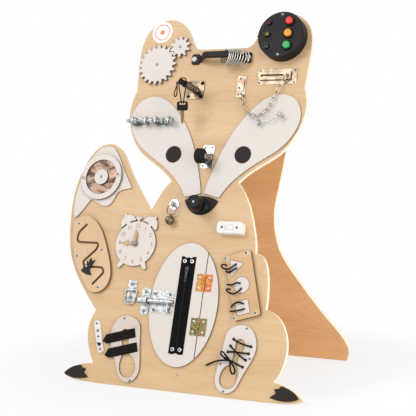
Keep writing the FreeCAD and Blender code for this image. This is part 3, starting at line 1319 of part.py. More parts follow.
def clock():
    u, v = CLOCK_CENTRE
    body = disc(u, v, 0, CLOCK_R, CLOCK_T)
    extras = []
    for side, angle in ((-1, 119.0), (1, 56.0)):
        cu, cv = around(u, v, CLOCK_R + 1.5, angle)
        bell_top = disc(cu, cv, 0, 20.5, CLOCK_T)
        bell_top = bell_top.cut(disc(u, v, -1, CLOCK_R + 3.2, CLOCK_T + 2))
        ku, kv = around(u, v, CLOCK_R + 23.5, angle)
        extras += [one(bell_top), disc(ku, kv, 0, 3.8, CLOCK_T)]
        stem_a, stem_b = around(u, v, CLOCK_R - 3, angle), around(u, v, CLOCK_R + 6, angle)
        across = V(math.sin(math.radians(angle)), -math.cos(math.radians(angle)), 0) * 5
        a, b = V(*stem_a, 0), V(*stem_b, 0)
        extras.append(raised(polygon([a + across, a - across, b - across, b + across]), 0, CLOCK_T))
    for angle in (237.0, 301.0):
        a, b = V(*around(u, v, CLOCK_R - 4, angle), 0), V(*around(u, v, CLOCK_R + 11, angle), 0)
        across = V(math.sin(math.radians(angle)), -math.cos(math.radians(angle)), 0)
        extras.append(raised(polygon([a + across * 7, a - across * 7, b - across * 4.5,
                                      b + across * 4.5]), 0, CLOCK_T))
        extras.append(disc(b.x, b.y, 0, 4.5, CLOCK_T))
    extras.append(block(u - 3, u + 3, v + CLOCK_R - 2, v + CLOCK_R + 7, 0, CLOCK_T))
    extras.append(rounded(u - 8, u + 8, v + CLOCK_R + 5, v + CLOCK_R + 10.5, 0, CLOCK_T, 2.4))
    plate = one(fused([body] + extras))
    plate = one(plate.cut(disc(u, v, -1, AXLE_R + FIT, CLOCK_T + 2)))
    return plate


def clock_hands():
    """The hour hand points left and the minute hand up; a cupped screw holds both."""
    u, v = CLOCK_CENTRE
    low = CLOCK_T + GAP
    spade = [(-4, 3.6), (-17, 3.2), (-19, 6), (-38, 0), (-19, -6), (-17, -3.2), (-4, -3.6)]
    hour = raised(polygon([(u + a, v + b) for a, b in spade]), low, HAND_T)
    hour = one(hour.fuse(disc(u, v, low, HUB_R + 1.2, HAND_T)).cut(
        disc(u, v, low - 1, HAND_BORE_R, HAND_T + 2)))
    high = low + HAND_T + GAP
    needle = [(-4, 3), (-3.8, 20), (0, 33), (3.8, 20), (4, 3)]
    minute = raised(polygon([(u + a, v + b) for a, b in needle]), high, HAND_T)
    minute = one(minute.fuse(disc(u, v, high, HUB_R + 1.2, HAND_T)).cut(
        disc(u, v, high - 1, HAND_BORE_R, HAND_T + 2)))
    head = high + HAND_T + GAP
    axle = turned([(0, -BITE), (AXLE_R, -BITE), (AXLE_R, head), (HUB_R, head),
                   (HUB_R, head + 0.8), (HUB_R * 0.7, head + 2.0), (0, head + 2.2)], u, v, 0)
    return hour, minute, axle


# Lashing ring

def lashing_ring():
    """A strap plate whose raised middle holds a D-shaped ring."""
    u, v = TIE_CENTRE
    half = TIE_W / 2
    top = rounded(u - half, u + half, TIE_KNUCKLE_V + 7, v + TIE_L / 2, 0, TIE_T, 1.5)
    low = rounded(u - half, u + half, v - TIE_L / 2, TIE_KNUCKLE_V - 7, 0, TIE_T, 1.5)
    arch_r = TIE_WIRE_R + FIT + TIE_T
    arch = Part.makeCylinder(arch_r, TIE_W - 6, V(u - half + 3, TIE_KNUCKLE_V, arch_r), V(1, 0, 0))
    skirt = block(u - half + 3, u + half - 3, TIE_KNUCKLE_V - 8, TIE_KNUCKLE_V + 8, 0, TIE_T)
    plate = fused([top, low, skirt, arch])
    bore = Part.makeCylinder(TIE_WIRE_R + FIT, TIE_W + 8, V(u - half - 4, TIE_KNUCKLE_V, arch_r),
                             V(1, 0, 0))
    places = [(u, v + TIE_L / 2 - 8), (u, v - TIE_L / 2 + 10)]
    plate = drilled(one(plate.cut(bore)), places, PAN)
    side = TIE_RING_W / 2 - TIE_WIRE_R
    bottom = TIE_KNUCKLE_V - TIE_RING_L + TIE_WIRE_R
    level = arch_r
    a = V(u - side, TIE_KNUCKLE_V, level)
    b = V(u + side, TIE_KNUCKLE_V, level)
    c = V(u + side - 1, TIE_KNUCKLE_V - 14, level)
    d = V(u - side + 1, TIE_KNUCKLE_V - 14, level)
    rod = Part.makeCylinder(TIE_WIRE_R, 2 * side, a, V(1, 0, 0))
    legs = [Part.makeCylinder(TIE_WIRE_R, (c - b).Length, b, c - b),
            Part.makeCylinder(TIE_WIRE_R, (d - a).Length, a, d - a)]
    joints = [Part.makeSphere(TIE_WIRE_R, p) for p in (a, b, c, d)]
    bow_edge = Part.Arc(c, V(u, bottom, level), d).toShape()
    section = Part.Wire(Part.makeCircle(TIE_WIRE_R, c, bow_edge.tangentAt(bow_edge.FirstParameter)))
    bow = Part.BRepOffsetAPI.MakePipeShell(Part.Wire([bow_edge]))
    bow.add(section)
    bow.build()
    bow.makeSolid()
    d_ring = one(fused([rod, bow.shape()] + legs + joints))
    return plate, places, d_ring, (u, TIE_KNUCKLE_V, level)


# Belly door

def ellipse_plate(h, t, cut_from, cut_to):
    """The part of the belly's ellipse between two u values."""
    cu, cv = BELLY_CENTRE
    curve = Part.Ellipse(V(cu, cv, 0), BELLY_B, BELLY_A)
    edge = curve.toShape()
    edge.rotate(V(cu, cv, 0), OUT, 90)
    plate = raised(Part.Face(Part.Wire([edge])), h, t)
    return one(plate.common(block(cut_from, cut_to, cv - 200, cv + 200, h - 1, h + t + 1)))


def door_leaf(side, seat, knuckles, bore):
    """Hinge leaves on one side of the pin, each with the knuckles it carries."""
    pin_h = seat + DOOR_KNUCKLE_R
    leaves = []
    for v in DOOR_HINGES_V:
        low = v - DOOR_LEAF_H / 2
        inner = DOOR_SPLIT_U + side * (DOOR_KNUCKLE_R + GAP)
        outer = DOOR_SPLIT_U + side * DOOR_LEAF_W
        u0, u1 = sorted((inner, outer))
        leaf = block(u0, u1, low, low + DOOR_LEAF_H, seat, seat + DOOR_LEAF_T)
        for a, b in knuckles:
            v0 = low + a * DOOR_LEAF_H + (GAP / 2 if a else 0)
            v1 = low + b * DOOR_LEAF_H - (GAP / 2 if b < 1 else 0)
            w0, w1 = sorted((DOOR_SPLIT_U, outer))
            leaf = leaf.fuse(block(w0, w1, v0, v1, seat, seat + DOOR_LEAF_T))
            leaf = leaf.fuse(Part.makeCylinder(DOOR_KNUCKLE_R, v1 - v0,
                                               V(DOOR_SPLIT_U, v0, pin_h), V(0, 1, 0)))
        leaf = leaf.cut(Part.makeCylinder(bore, DOOR_LEAF_H + 2, V(DOOR_SPLIT_U, low - 1, pin_h),
                                          V(0, 1, 0)))
        places = [(DOOR_SPLIT_U + side * DOOR_SCREW_U, v + s * DOOR_SCREW_V) for s in (-1, 1)]
        leaves.append(drilled(one(leaf.removeSplitter()), places, SMALL))
    return leaves


def belly():
    """Fixed leaf, door leaf, the two hinges and their screws."""
    door_base = GAP
    seat_fixed = door_base + BELLY_T
    fixed = ellipse_plate(0, seat_fixed, DOOR_SPLIT_U + DOOR_GAP / 2, 200)
    door = ellipse_plate(door_base, BELLY_T, -200, DOOR_SPLIT_U - DOOR_GAP / 2)
    right_places = [(DOOR_SPLIT_U + DOOR_SCREW_U, v + s * DOOR_SCREW_V)
                    for v in DOOR_HINGES_V for s in (-1, 1)]
    left_places = [(DOOR_SPLIT_U - DOOR_SCREW_U, v + s * DOOR_SCREW_V)
                   for v in DOOR_HINGES_V for s in (-1, 1)]
    fixed_leaves = door_leaf(1, seat_fixed, [(0, 1 / 3), (2 / 3, 1)], DOOR_PIN_R)
    for v in DOOR_HINGES_V:
        fixed_leaves.append(Part.makeCylinder(DOOR_PIN_R, DOOR_LEAF_H,
                                              V(DOOR_SPLIT_U, v - DOOR_LEAF_H / 2,
                                                seat_fixed + DOOR_KNUCKLE_R), V(0, 1, 0)))
    moving_leaves = door_leaf(-1, seat_fixed, [(1 / 3, 2 / 3)], DOOR_PIN_R + FIT)
    leaf_top = seat_fixed + DOOR_LEAF_T
    fixed = drilled(fixed, right_places, SMALL)
    door = drilled(door, left_places, SMALL)
    return dict(fixed=fixed, door=door, fixed_leaves=fixed_leaves, moving_leaves=moving_leaves,
                right_places=right_places, left_places=left_places, seat=seat_fixed,
                leaf_top=leaf_top, pin=(DOOR_SPLIT_U, seat_fixed + DOOR_KNUCKLE_R))


def barrel_bolt(seat):
    """Base plate with a slotted barrel on the door, and the rod with its lever."""
    u0, u1 = LOCK_PLATE_U
    half = LOCK_PLATE_H / 2
    plate = rounded(u0, u1, LOCK_V - half, LOCK_V + half, seat, LOCK_PLATE_T, 3)
    outer = LOCK_ROD_R + FIT + LOCK_BARREL_WALL
    axis = LOCK_ROD_H
    barrel = Part.makeCylinder(outer, u1 - u0, V(u0, LOCK_V, axis), V(1, 0, 0))
    pedestal = block(u0, u1, LOCK_V - outer, LOCK_V + outer, seat, axis)
    body = plate.fuse(barrel).fuse(pedestal)
    body = body.cut(Part.makeCylinder(LOCK_ROD_R + FIT, u1 - u0 + 4, V(u0 - 2, LOCK_V, axis),
                                      V(1, 0, 0)))
    lever_u = u0 + 17 + LOCK_TRAVEL
    slot = block(lever_u - LOCK_TRAVEL - 2.4, lever_u + 2.4, LOCK_V - outer - 3, LOCK_V,
                 axis - 2.2, axis + 2.2)
    places = [(u, LOCK_V + s * 18.5) for u in (u0 + 8, u1 - 9) for s in (-1, 1)]
    body = drilled(one(body.cut(slot)), places, PAN)
    start = u0 - 5.5
    rod = Part.makeCylinder(LOCK_ROD_R, LOCK_ROD_L, V(start, LOCK_V, axis), V(1, 0, 0))
    ends = [e for e in rod.Edges if e.Curve.TypeId == "Part::GeomCircle"]
    rod = rod.makeChamfer(0.8, ends)
    lever = Part.makeCylinder(1.9, LOCK_LEVER_L, V(lever_u, LOCK_V, axis), V(0, -1, 0))
    grip = Part.makeCylinder(3.4, 5, V(lever_u, LOCK_V - LOCK_LEVER_L, axis), V(0, -1, 0))
    rod = one(fused([rod, lever, grip]))
    return body, places, rod


def keeper():
    """The plate with a raised saddle that the bolt enters."""
    u0, u1 = KEEPER_U - KEEPER_W / 2, KEEPER_U + KEEPER_W / 2
    plate = rounded(u0, u1, LOCK_V - KEEPER_L / 2, LOCK_V + KEEPER_L / 2, 0, KEEPER_T, 10)
    inner = LOCK_ROD_R + 2 * GAP
    outer = inner + LOCK_BARREL_WALL + 0.3
    saddle = block(u0, u1, LOCK_V - outer, LOCK_V + outer, 0, LOCK_ROD_H + outer)
    crown = [e for e in saddle.Edges if e.BoundBox.ZMin > LOCK_ROD_H and e.BoundBox.XLength > 1]
    saddle = saddle.makeFillet(KEEPER_BEND_R, crown)
    passage = block(u0 - 2, u1 + 2, LOCK_V - inner, LOCK_V + inner, KEEPER_T, LOCK_ROD_H + inner)
    places = [(KEEPER_U, LOCK_V + s * 21.5) for s in (-1, 1)]
    body = plate.fuse(saddle).cut(passage)
    return drilled(one(body), places, PAN), places


def zipper(seat):
    """The tape with its teeth row, and the slider with its pull tab."""
    u, top = ZIP_TOP
    tape = block(u - ZIP_W / 2, u + ZIP_W / 2, top - ZIP_L, top, seat, seat + ZIP_T)
    places = [(u + s * ZIP_SCREW_U, v) for s in (-1, 1)
              for v in (top - ZIP_SCREW_V, top - ZIP_L + ZIP_SCREW_V)]
    tape = drilled(tape, places, CUPPED)
    teeth_w = 5.0
    teeth_t = 0.9
    row = block(u - teeth_w / 2, u + teeth_w / 2, top - ZIP_L + 14, top - 14, seat + ZIP_T,
                seat + ZIP_T + teeth_t)
    tape = one(tape.fuse(row))
    low = seat + ZIP_T + GAP
    high = low + PULL_H
    body = rounded(u - PULL_W / 2, u + PULL_W / 2, PULL_V - PULL_L / 2, PULL_V + PULL_L / 2, low,
                   PULL_H, 2)
    channel = block(u - teeth_w / 2 - GAP, u + teeth_w / 2 + GAP, PULL_V - PULL_L, PULL_V + PULL_L,
                    low - 1, seat + ZIP_T + teeth_t + GAP)
    tab = rounded(u - 2.8, u + 2.8, PULL_V - 2 - PULL_TAB_L, PULL_V - 2, high - 0.8, 0.9, 2)
    hole = rounded(u - 1.4, u + 1.4, PULL_V - PULL_TAB_L + 1, PULL_V - PULL_TAB_L + 7, high - 3, 6,
                   1.2)
    slider = one(fused([one(body.cut(channel)), tab]))
    return tape, places, one(slider.cut(hole))


# Insert panel

def insert_outlines():
    """Outlines of the three loose shapes: triangle, disc and square."""
    tu, tv = TRIANGLE_AT
    triangle = [around(tu, tv, TRIANGLE_R, a) for a in (127, 31, 253)]
    su, sv = SQUARE_AT
    square = [around(su - 5, sv + 1, INSERT_SIDE / math.sqrt(2), INSERT_DEG + 45 + 90 * k)
              for k in range(4)]
    return triangle, square


def insert_panel():
    cu, cv = INSERT_CENTRE
    panel = rounded(cu - INSERT_W / 2, cu + INSERT_W / 2, cv - INSERT_H / 2, cv + INSERT_H / 2, 0,
                    INSERT_T, INSERT_CORNER)
    panel = spun(panel, cu, cv, INSERT_DEG)
    triangle, square = insert_outlines()
    floor = INSERT_T - POCKET_D
    shapes = []
    for outline in (triangle, None, square):
        if outline is None:
            face = Part.Face(Part.Wire(Part.makeCircle(INSERT_DISC_R, V(*DISC_AT, 0), OUT)))
        else:
            face = polygon(outline)
        wire = face.OuterWire.makeOffset2D(INSERT_CLEAR)
        pocket = raised(Part.Face(wire), floor, POCKET_D + 1)
        panel = panel.cut(pocket)
        shapes.append(raised(face, floor + GAP, POCKET_D + INSERT_RISE - GAP))
    return drilled(one(panel), INSERT_SCREWS, CUPPED), shapes


def insert_cords():
    """A cord from each loose shape to the panel: its route starts and ends on their tops."""
    top = INSERT_T + LACE_R + 0.2
    up = top + 3.0
    seat = INSERT_T + INSERT_RISE
    routes = [
        [(110.5, 286.5, seat), (107.5, 283, up), (100, 274.5, up + 1), (89, 272, up),
         (79, 275.5, up), (76.5, 281.5, up), (82, 283.5, up), (87.5, 282, INSERT_T)],
        [(113.5, 277.5, seat), (108, 274, up), (101.5, 268, up - 0.5), (93.5, 266, top + 1),
         (87, 268.5, INSERT_T)],
        [(125.5, 244.5, seat), (120, 246.5, up), (112, 240, up + 1), (102, 239, up),
         (94, 240, INSERT_T)],
        [(130, 235, seat), (127, 228, up), (119, 221, up), (108, 220.5, up), (98, 224.5, up),
         (96, 231, up), (103.5, 230.5, INSERT_T)],
        [(140, 200.5, seat), (134, 204, up), (124, 201.5, up), (115, 196.5, up),
         (110.5, 191.5, INSERT_T)],
        [(143.5, 191, seat), (136, 187, up), (126, 184, up), (117, 183, up), (110, 183, INSERT_T)],
    ]
    cords = []
    for k, route in enumerate(routes):
        cords.append(tube([V(*p) for p in route], LACE_R, f"insert cord {k + 1}"))
    return cords


# Shoes

def shoe_outline():
    """The right shoe's plate; the left one is its mirror image."""
    sole = [(110, 142), (104, 124), (101, 96), (95, 62), (93.5, 36), (101, 18), (121, 9),
            (141, 19), (153, 43), (169, 76), (179, 105), (175, 133), (161, 151), (144, 156.5)]
    return face_from((144, 156.5), [[(125, 153)] + sole])


def shoe_opening():
    """The heel window that narrows into the tongue slot."""
    return face_from((142, 126), [[(132, 121), (131, 108), (129, 92), (125, 74), (112, 63),
                                   (104, 46), (107, 27), (122, 19.5), (138, 26), (145, 44),
                                   (143, 62), (141, 80), (147, 96), (152, 108), (151, 120),
                                   (142, 126)]])


SHOE_SCREWS_RIGHT = [(152, 149.5), (167.5, 86.5), (101.5, 70), (116.5, 13.5)]
SHOE_SCREWS_LEFT = [(-149, 149.5), (-112, 13.5)]
EYELETS = [(124.8, 125), (119.8, 110), (115.5, 97), (112, 83), (167, 112), (163.8, 97),
           (158.8, 83), (153.8, 68)]


def shoes():
    plate = raised(shoe_outline(), 0, SHOE_T)
    plate = one(plate.cut(raised(shoe_opening(), -1, SHOE_T + 2)))
    left = plate.mirror(V(0, 0, 0), V(1, 0, 0))
    for u, v in EYELETS:
        plate = plate.cut(disc(u, v, -1, EYELET_R - 0.7, SHOE_T + 2))
    right = drilled(one(plate), SHOE_SCREWS_RIGHT, SMALL)
    left = drilled(one(left), SHOE_SCREWS_LEFT, SMALL)
    rings = [turned([(EYELET_R - 1.4, -SHOE_T), (EYELET_R - 0.8, -SHOE_T), (EYELET_R - 0.8, 0),
                     (EYELET_R, 0), (EYELET_R, EYELET_RISE), (EYELET_R - 1.4, EYELET_RISE)],
                    u, v, SHOE_T) for u, v in EYELETS]
    return [left, right], rings


def straps():
    """Two pointed straps, each turning at its right end."""
    made = []
    for u, v in STRAPS:
        half = STRAP_W / 2
        face = polygon([(0, half), (0, -half), (-STRAP_L + STRAP_POINT, -half),
                        (-STRAP_L, -half * 0.25), (-STRAP_L + STRAP_POINT, half)])
        strap = raised(face, SHOE_T + GAP, STRAP_T)
        strap.rotate(V(0, 0, 0), OUT, STRAP_DEG)
        strap.translate(V(u, v, 0))
        made.append(strap)
    return made


def lace():
    """The criss-crossed lace, its bow and its loose end, as separate runs."""
    low = SHOE_T + EYELET_RISE + LACE_R
    seat = SHOE_T + 0.2
    runs = [
        [(124.8, 125, seat), (130, 122.5, low + 2), (142, 117.5, low + 2.5), (154, 114.5, low + 2),
         (160.5, 113, low + 2), (167, 112, seat)],
        [(119.8, 110, seat), (125, 106.5, low + 3), (137, 98, low + 6), (149, 89.5, low + 6),
         (154, 86, low + 3), (158.8, 83, seat)],
        [(115.5, 97, seat), (121, 97.5, low + 1), (134, 97.5, low + 1.5), (148, 97, low + 1.5),
         (157.5, 97, low + 1), (163.8, 97, seat)],
        [(112, 83, seat), (117, 81.5, low + 0.4), (130, 77, low + 0.9), (142, 72.5, low + 0.6),
         (148.5, 70, low + 0.4), (153.8, 68, seat)],
    ]
    bow = [
        [(125, 81, low + 8), (118, 87, low + 9), (109, 95, low + 8), (104, 96.5, low + 6),
         (102.5, 91, low + 5), (108, 85.5, low + 5.5), (117, 80.5, low + 7.6), (124, 77.5, low + 9.2)],
        [(127.4, 77.2, low + 7), (129, 69, low + 8.5), (131, 58, low + 7), (135, 50, low + 5),
         (140.5, 52.5, low + 5), (141.5, 60, low + 6.5), (136, 69, low + 8.6), (130.6, 75.6, low + 10)],
        [(124, 79, low + 4.6), (113, 78.2, low + 3.8), (100, 77, low + 1.8), (87, 73.2, low - 0.8),
         (76, 68.6, low - 3.2), (67, 64, low - 4.3)],
    ]
    made = []
    for k, run in enumerate(runs + bow):
        made.append(tube([V(*p) for p in run], LACE_R, f"lace run {k + 1}"))
    return made


# White strip

def strip():
    """A white strip with two lamps and a small toggle in a bush."""
    top, low = V(*STRIP_TOP, 0), V(*STRIP_BOTTOM, 0)
    along = (low - top).normalize()
    across = V(-along.y, along.x, 0) * (STRIP_W / 2)
    bar = raised(polygon([top + across, top - across, low - across, low + across]), 0, STRIP_T)
    body = one(fused([bar, disc(top.x, top.y, 0, STRIP_W / 2, STRIP_T),
                      disc(low.x, low.y, 0, STRIP_W / 2, STRIP_T)]))
    reach = (low - top).Length
    lamps = []
    for share in (0.28, 0.985):
        p = top + along * (reach * share)
        body = body.cut(disc(p.x, p.y, STRIP_T - 2.5, 2.9, 5))
        lamps.append(turned([(0, 0), (2.8, 0), (2.8, 3.2), (2.0, 4.2), (0, 4.6)], p.x, p.y,
                            STRIP_T - 2.4))
    pivot = top + along * (reach * 0.8)
    bush = turned([(2.2, -3), (3.4, -3), (3.4, 1.6), (2.2, 1.6)], pivot.x, pivot.y, STRIP_T)
    body = body.cut(disc(pivot.x, pivot.y, STRIP_T - 4, 3.4, 8))
    places = [(top.x, top.y), tuple(top + along * (reach * 0.5))[:2]]
    body = drilled(one(body), places, SMALL)
    lever = Part.makeCylinder(1.1, 9, V(0, 0, -1.5), OUT).fuse(Part.makeSphere(1.9, V(0, 0, 8.2)))
    lever = one(lever)
    lever.rotate(V(0, 0, 0), across, -TOGGLE_SWING_DEG / 2)
    lever.translate(V(pivot.x, pivot.y, STRIP_T - 0.5))
    return [body] + lamps + [bush], places, lever


# Assembly

def build():
    nodes = {}
    board_screws = []
    pilots = []

    def fasten(places, seat, kind):
        board_screws.extend(screws(places, seat, kind))
        pilots.extend(((u, v), kind["shank"], BITE) for u, v in places)

    def axle_hole(place, radius):
        pilots.append((place, radius, BITE))

    stand_board, stand_rear = stand_hinges()
    (nodes["large_gear"], nodes["small_gear"]), axles, axle_places = gears()
    board_screws.extend(axles)
    for place in axle_places:
        axle_hole(place, AXLE_R)

    nodes["pull_handle"] = drilled(pull_handle(), [(-HANDLE_SCREW_U, HANDLE_V),
                                                   (HANDLE_SCREW_U, HANDLE_V)], BROAD)
    fasten([(-HANDLE_SCREW_U, HANDLE_V), (HANDLE_SCREW_U, HANDLE_V)], HANDLE_FOOT_T, BROAD)
    nodes["handle_rings"] = handle_rings()

    plate, stop_screws, places, spring, tip, end = spring_stop()
    nodes["spring_stop_base"] = plate
    board_screws.extend(stop_screws)
    pilots.extend((place, PAN["shank"], BITE) for place in places)
    nodes["stop_spring"] = spring
    nodes["stop_tip"] = tip
    nodes["key_cord"], nodes["door_key"] = hung_key(end)

    plate, places, slider, anchor, anchor_places, links = door_chain()
    fasten(places, CHAIN_PLATE_T, SMALL)
    fasten(anchor_places, CHAIN_PLATE_T, SMALL)
    nodes["chain_slider"] = slider
    nodes["door_chain"] = links
    tie_plate, tie_places, tie_ring, tie_pin = lashing_ring()
    fasten(tie_places, TIE_T, PAN)
    nodes["tie_ring"] = tie_ring
    keeper_plate, keeper_places = keeper()
    fasten(keeper_places, KEEPER_T, PAN)
    latch_plates = [plate, anchor, tie_plate, keeper_plate]

    brackets, places, bolt, wing = bolt_row()
    nodes["bolt_row"] = brackets + bolt
    nodes["wing_nut"] = wing
    bracket_places = places
    fasten(places, OVERLAY_T + BRACKET_T, SMALL)

    box = ear_box()
    nodes["ear_box_shell"] = [box["shell"]] + box["inside"]
    nodes["ear_box_lid"] = box["lid"]
    nodes["signal_lamps"] = box["lamps"]
    for colour, button in zip(("red", "amber", "green"), box["buttons"]):
        nodes["push_button_" + colour] = button
    board_screws.extend(screws(box["lid_places"], BOX_H, PAN, BITE))
    pilots.extend((place, PAN["shank"], BITE) for place in box["lid_places"])
    fasten(box["shell_places"], BOX_WALL, PAN)

    eyes, hook, hook_pin = latch()
    bell_fixed, bell_hung, bell_pin = bell()
    nodes["screw_eyes"] = eyes + bell_fixed
    nodes["latch_hook"] = hook
    nodes["jingle_bell"] = bell_hung
    for place in (EYE_LEFT, EYE_RIGHT):
        axle_hole(place, EYE_WIRE_R)
    axle_hole(BELL_EYE, BELL_EYE_WIRE_R)

    plate, places, fork, wheel = caster()
    nodes["latch_plates"] = latch_plates + [plate]
    nodes["caster_fork"] = fork
    nodes["caster_wheel"] = wheel
    fasten(places, CASTER_PLATE_T, SMALL)

    knob, knob_pin = nose_knob()
    nodes["nose_knob"] = knob
    board_screws.append(knob_pin)
    axle_hole(KNOB_CENTRE, 2.0)

    body, places, rocker, rocker_pin = switch()
    nodes["switch_body"] = body
    nodes["switch_rocker"] = rocker
    fasten(places, SWITCH_H - 1.4, SMALL)

    ring_plate, sleeves, places, mirror, hub, axle = tail_disc()
    nodes["tail_ring"] = [ring_plate] + sleeves
    nodes["mirror_disc"] = [mirror, hub]
    fasten(places, OVERLAY_T + TAIL_RING_T + SLEEVE_T, SMALL)
    tail_places = places
    board_screws.append(axle)
    axle_hole(TAIL_CENTRE, AXLE_R)

    nodes["maze_panel"], nodes["maze_slider"] = maze()
    fasten(MAZE_SCREWS, MAZE_T, CUPPED)

    nodes["clock_plate"] = clock()
    nodes["hour_hand"], nodes["minute_hand"], axle = clock_hands()
    board_screws.append(axle)
    axle_hole(CLOCK_CENTRE, AXLE_R)

    door = belly()
    nodes["belly_door"] = door["door"]
    nodes["hinge_leaves_board"] = stand_board + door["fixed_leaves"]
    nodes["hinge_leaves_door"] = door["moving_leaves"]
    fasten(door["right_places"], door["leaf_top"], SMALL)
    lock, lock_places, rod = barrel_bolt(door["seat"])
    nodes["barrel_bolt_plate"] = lock
    nodes["barrel_bolt_rod"] = rod
    tape, tape_places, pull = zipper(door["seat"])
    nodes["zipper_tape"] = tape
    nodes["zipper_slider"] = pull
    bite = BELLY_T - GAP
    nodes["hinge_leaves_door"] += screws(door["left_places"], door["leaf_top"], SMALL,
                                         bite - door["leaf_top"])
    nodes["belly_door"] = drilled(drilled(nodes["belly_door"], lock_places, PAN), tape_places, CUPPED)
    nodes["hinge_leaves_door"] += screws(lock_places, door["seat"] + LOCK_PLATE_T, PAN,
                                   -door["seat"] + GAP * 2 - LOCK_PLATE_T)
    nodes["hinge_leaves_door"] += screws(tape_places, door["seat"] + ZIP_T, CUPPED,
                                   -door["seat"] + GAP * 2 - ZIP_T)

    nodes["insert_panel"], shapes = insert_panel()
    nodes["insert_triangle"], nodes["insert_disc"], nodes["insert_square"] = shapes
    nodes["insert_cords"] = trimmed(insert_cords(), shapes + [nodes["insert_panel"]])
    fasten(INSERT_SCREWS, INSERT_T, CUPPED)

    plates, eyelets = shoes()
    nodes["shoe_plates"] = plates + eyelets
    nodes["shoe_lace"] = trimmed(lace(), plates + eyelets)
    nodes["strap_upper"], nodes["strap_lower"] = straps()
    fasten(SHOE_SCREWS_RIGHT + SHOE_SCREWS_LEFT, SHOE_T, SMALL)

    nodes["toggle_strip"], places, nodes["strip_toggle"] = strip()
    fasten(places, STRIP_T, SMALL)

    cheeks = [cheek(-1), cheek(1)]
    cheeks[0] = drilled(cheeks[0], bracket_places, SMALL)
    for place in (EYE_LEFT, EYE_RIGHT):
        cheeks[1] = one(cheeks[1].cut(disc(*place, -1, EYE_WIRE_R + FIT, OVERLAY_T + 2)))
    patch = drilled(tail_patch(), tail_places, SMALL)
    patch = one(patch.cut(disc(*TAIL_CENTRE, -1, AXLE_R + FIT, OVERLAY_T + 2)))
    nodes["white_patches"] = cheeks + [patch, badge(), door["fixed"]]
    blacks = black_patches()
    blacks[0] = one(blacks[0].cut(disc(*KNOB_CENTRE, -1, 2.0 + FIT, OVERLAY_T + 2)))
    nodes["black_patches"] = blacks
    nodes["board_screws"] = board_screws

    placed = {}
    for name, shape in nodes.items():
        solids = shape if isinstance(shape, list) else [shape]
        for solid in solids:
            solid.Placement = BOARD.multiply(solid.Placement)
        placed[name] = solids
    placed["front_board"] = [front_board(pilots)]
    for leaf in stand_rear:
        leaf.Placement = REAR.multiply(leaf.Placement)
    placed["rear_panel"] = [rear_panel()]
    placed["hinge_leaves_rear"] = stand_rear
    pins = dict(hook=hook_pin, bell=bell_pin, rocker=rocker_pin, tie=tie_pin, door=door["pin"])
    return placed, pins


def main():
    os.makedirs("parts", exist_ok=True)
    placed, pins = build()
    for name, solids in sorted(placed.items()):
        shape = solids[0] if len(solids) == 1 else Part.makeCompound(solids)
        for k, solid in enumerate(solids):
            if not solid.isValid() or len(solid.Solids) != 1:
                print(f"check {name} solid {k}: valid {solid.isValid()}, {len(solid.Solids)} solids")
        shape.exportStep(os.path.join("parts", name + ".step"))
    print(f"{len(placed)} nodes, {sum(len(s) for s in placed.values())} solids")
    print("pins", pins)


main()
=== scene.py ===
import bmesh
import bpy
import json
import math
from mathutils import Matrix, Vector

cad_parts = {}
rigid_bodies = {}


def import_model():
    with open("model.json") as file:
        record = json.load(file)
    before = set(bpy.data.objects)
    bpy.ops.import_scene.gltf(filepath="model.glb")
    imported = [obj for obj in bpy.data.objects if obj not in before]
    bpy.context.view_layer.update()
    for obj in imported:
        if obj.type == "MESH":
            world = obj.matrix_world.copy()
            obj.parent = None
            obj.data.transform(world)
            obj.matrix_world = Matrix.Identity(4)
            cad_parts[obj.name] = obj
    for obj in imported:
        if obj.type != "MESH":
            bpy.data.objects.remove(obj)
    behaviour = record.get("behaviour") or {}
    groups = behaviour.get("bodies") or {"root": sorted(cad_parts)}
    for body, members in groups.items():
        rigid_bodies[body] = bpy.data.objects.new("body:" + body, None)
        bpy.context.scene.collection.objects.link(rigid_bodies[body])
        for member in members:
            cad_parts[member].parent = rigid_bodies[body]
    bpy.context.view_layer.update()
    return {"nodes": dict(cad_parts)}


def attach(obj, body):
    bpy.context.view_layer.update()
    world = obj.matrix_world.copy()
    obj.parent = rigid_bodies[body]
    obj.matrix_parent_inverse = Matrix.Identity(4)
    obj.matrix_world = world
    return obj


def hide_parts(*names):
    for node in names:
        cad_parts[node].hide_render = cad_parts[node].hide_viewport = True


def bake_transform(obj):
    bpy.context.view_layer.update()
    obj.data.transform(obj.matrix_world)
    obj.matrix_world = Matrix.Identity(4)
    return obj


# The plywood activity board: finishes, cords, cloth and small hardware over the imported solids.
# Places on the board are written in its own frame, in millimetres, as in the part's source:
# u across, v up the front face, h out from it.

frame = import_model()

MM = 0.001
LEAN = math.radians(17.74)
PLY = 10.0
FLOOR_LINE = PLY / 2 / math.cos(LEAN)
REAR_LEAN = math.radians(18.56081)
FOOT_SPREAD = 481.0
UPRIGHT = math.pi / 2
TURN = 2 * math.pi
WHITE = (1.0, 1.0, 1.0, 1.0)
ON_BOARD = (Matrix.Translation((0, -FLOOR_LINE * MM, 0))
            @ Matrix.Rotation(UPRIGHT - LEAN, 4, "X"))
OUT = Vector((0, -math.cos(LEAN), math.sin(LEAN)))
REAR_OUT = Vector((0, -math.cos(REAR_LEAN), -math.sin(REAR_LEAN)))


def at(u, v, h=0.0):
    return ON_BOARD @ (Vector((u, v, h)) * MM)


def srgb(r, g, b):
    """A linear colour from the 0 to 255 numbers of a paint chart."""
    def linear(x):
        x /= 255
        return x / 12.92 if x <= 0.04045 else ((x + 0.055) / 1.055) ** 2.4
    return (linear(r), linear(g), linear(b), 1.0)


# ---------------------------------------------------------------- shader tools

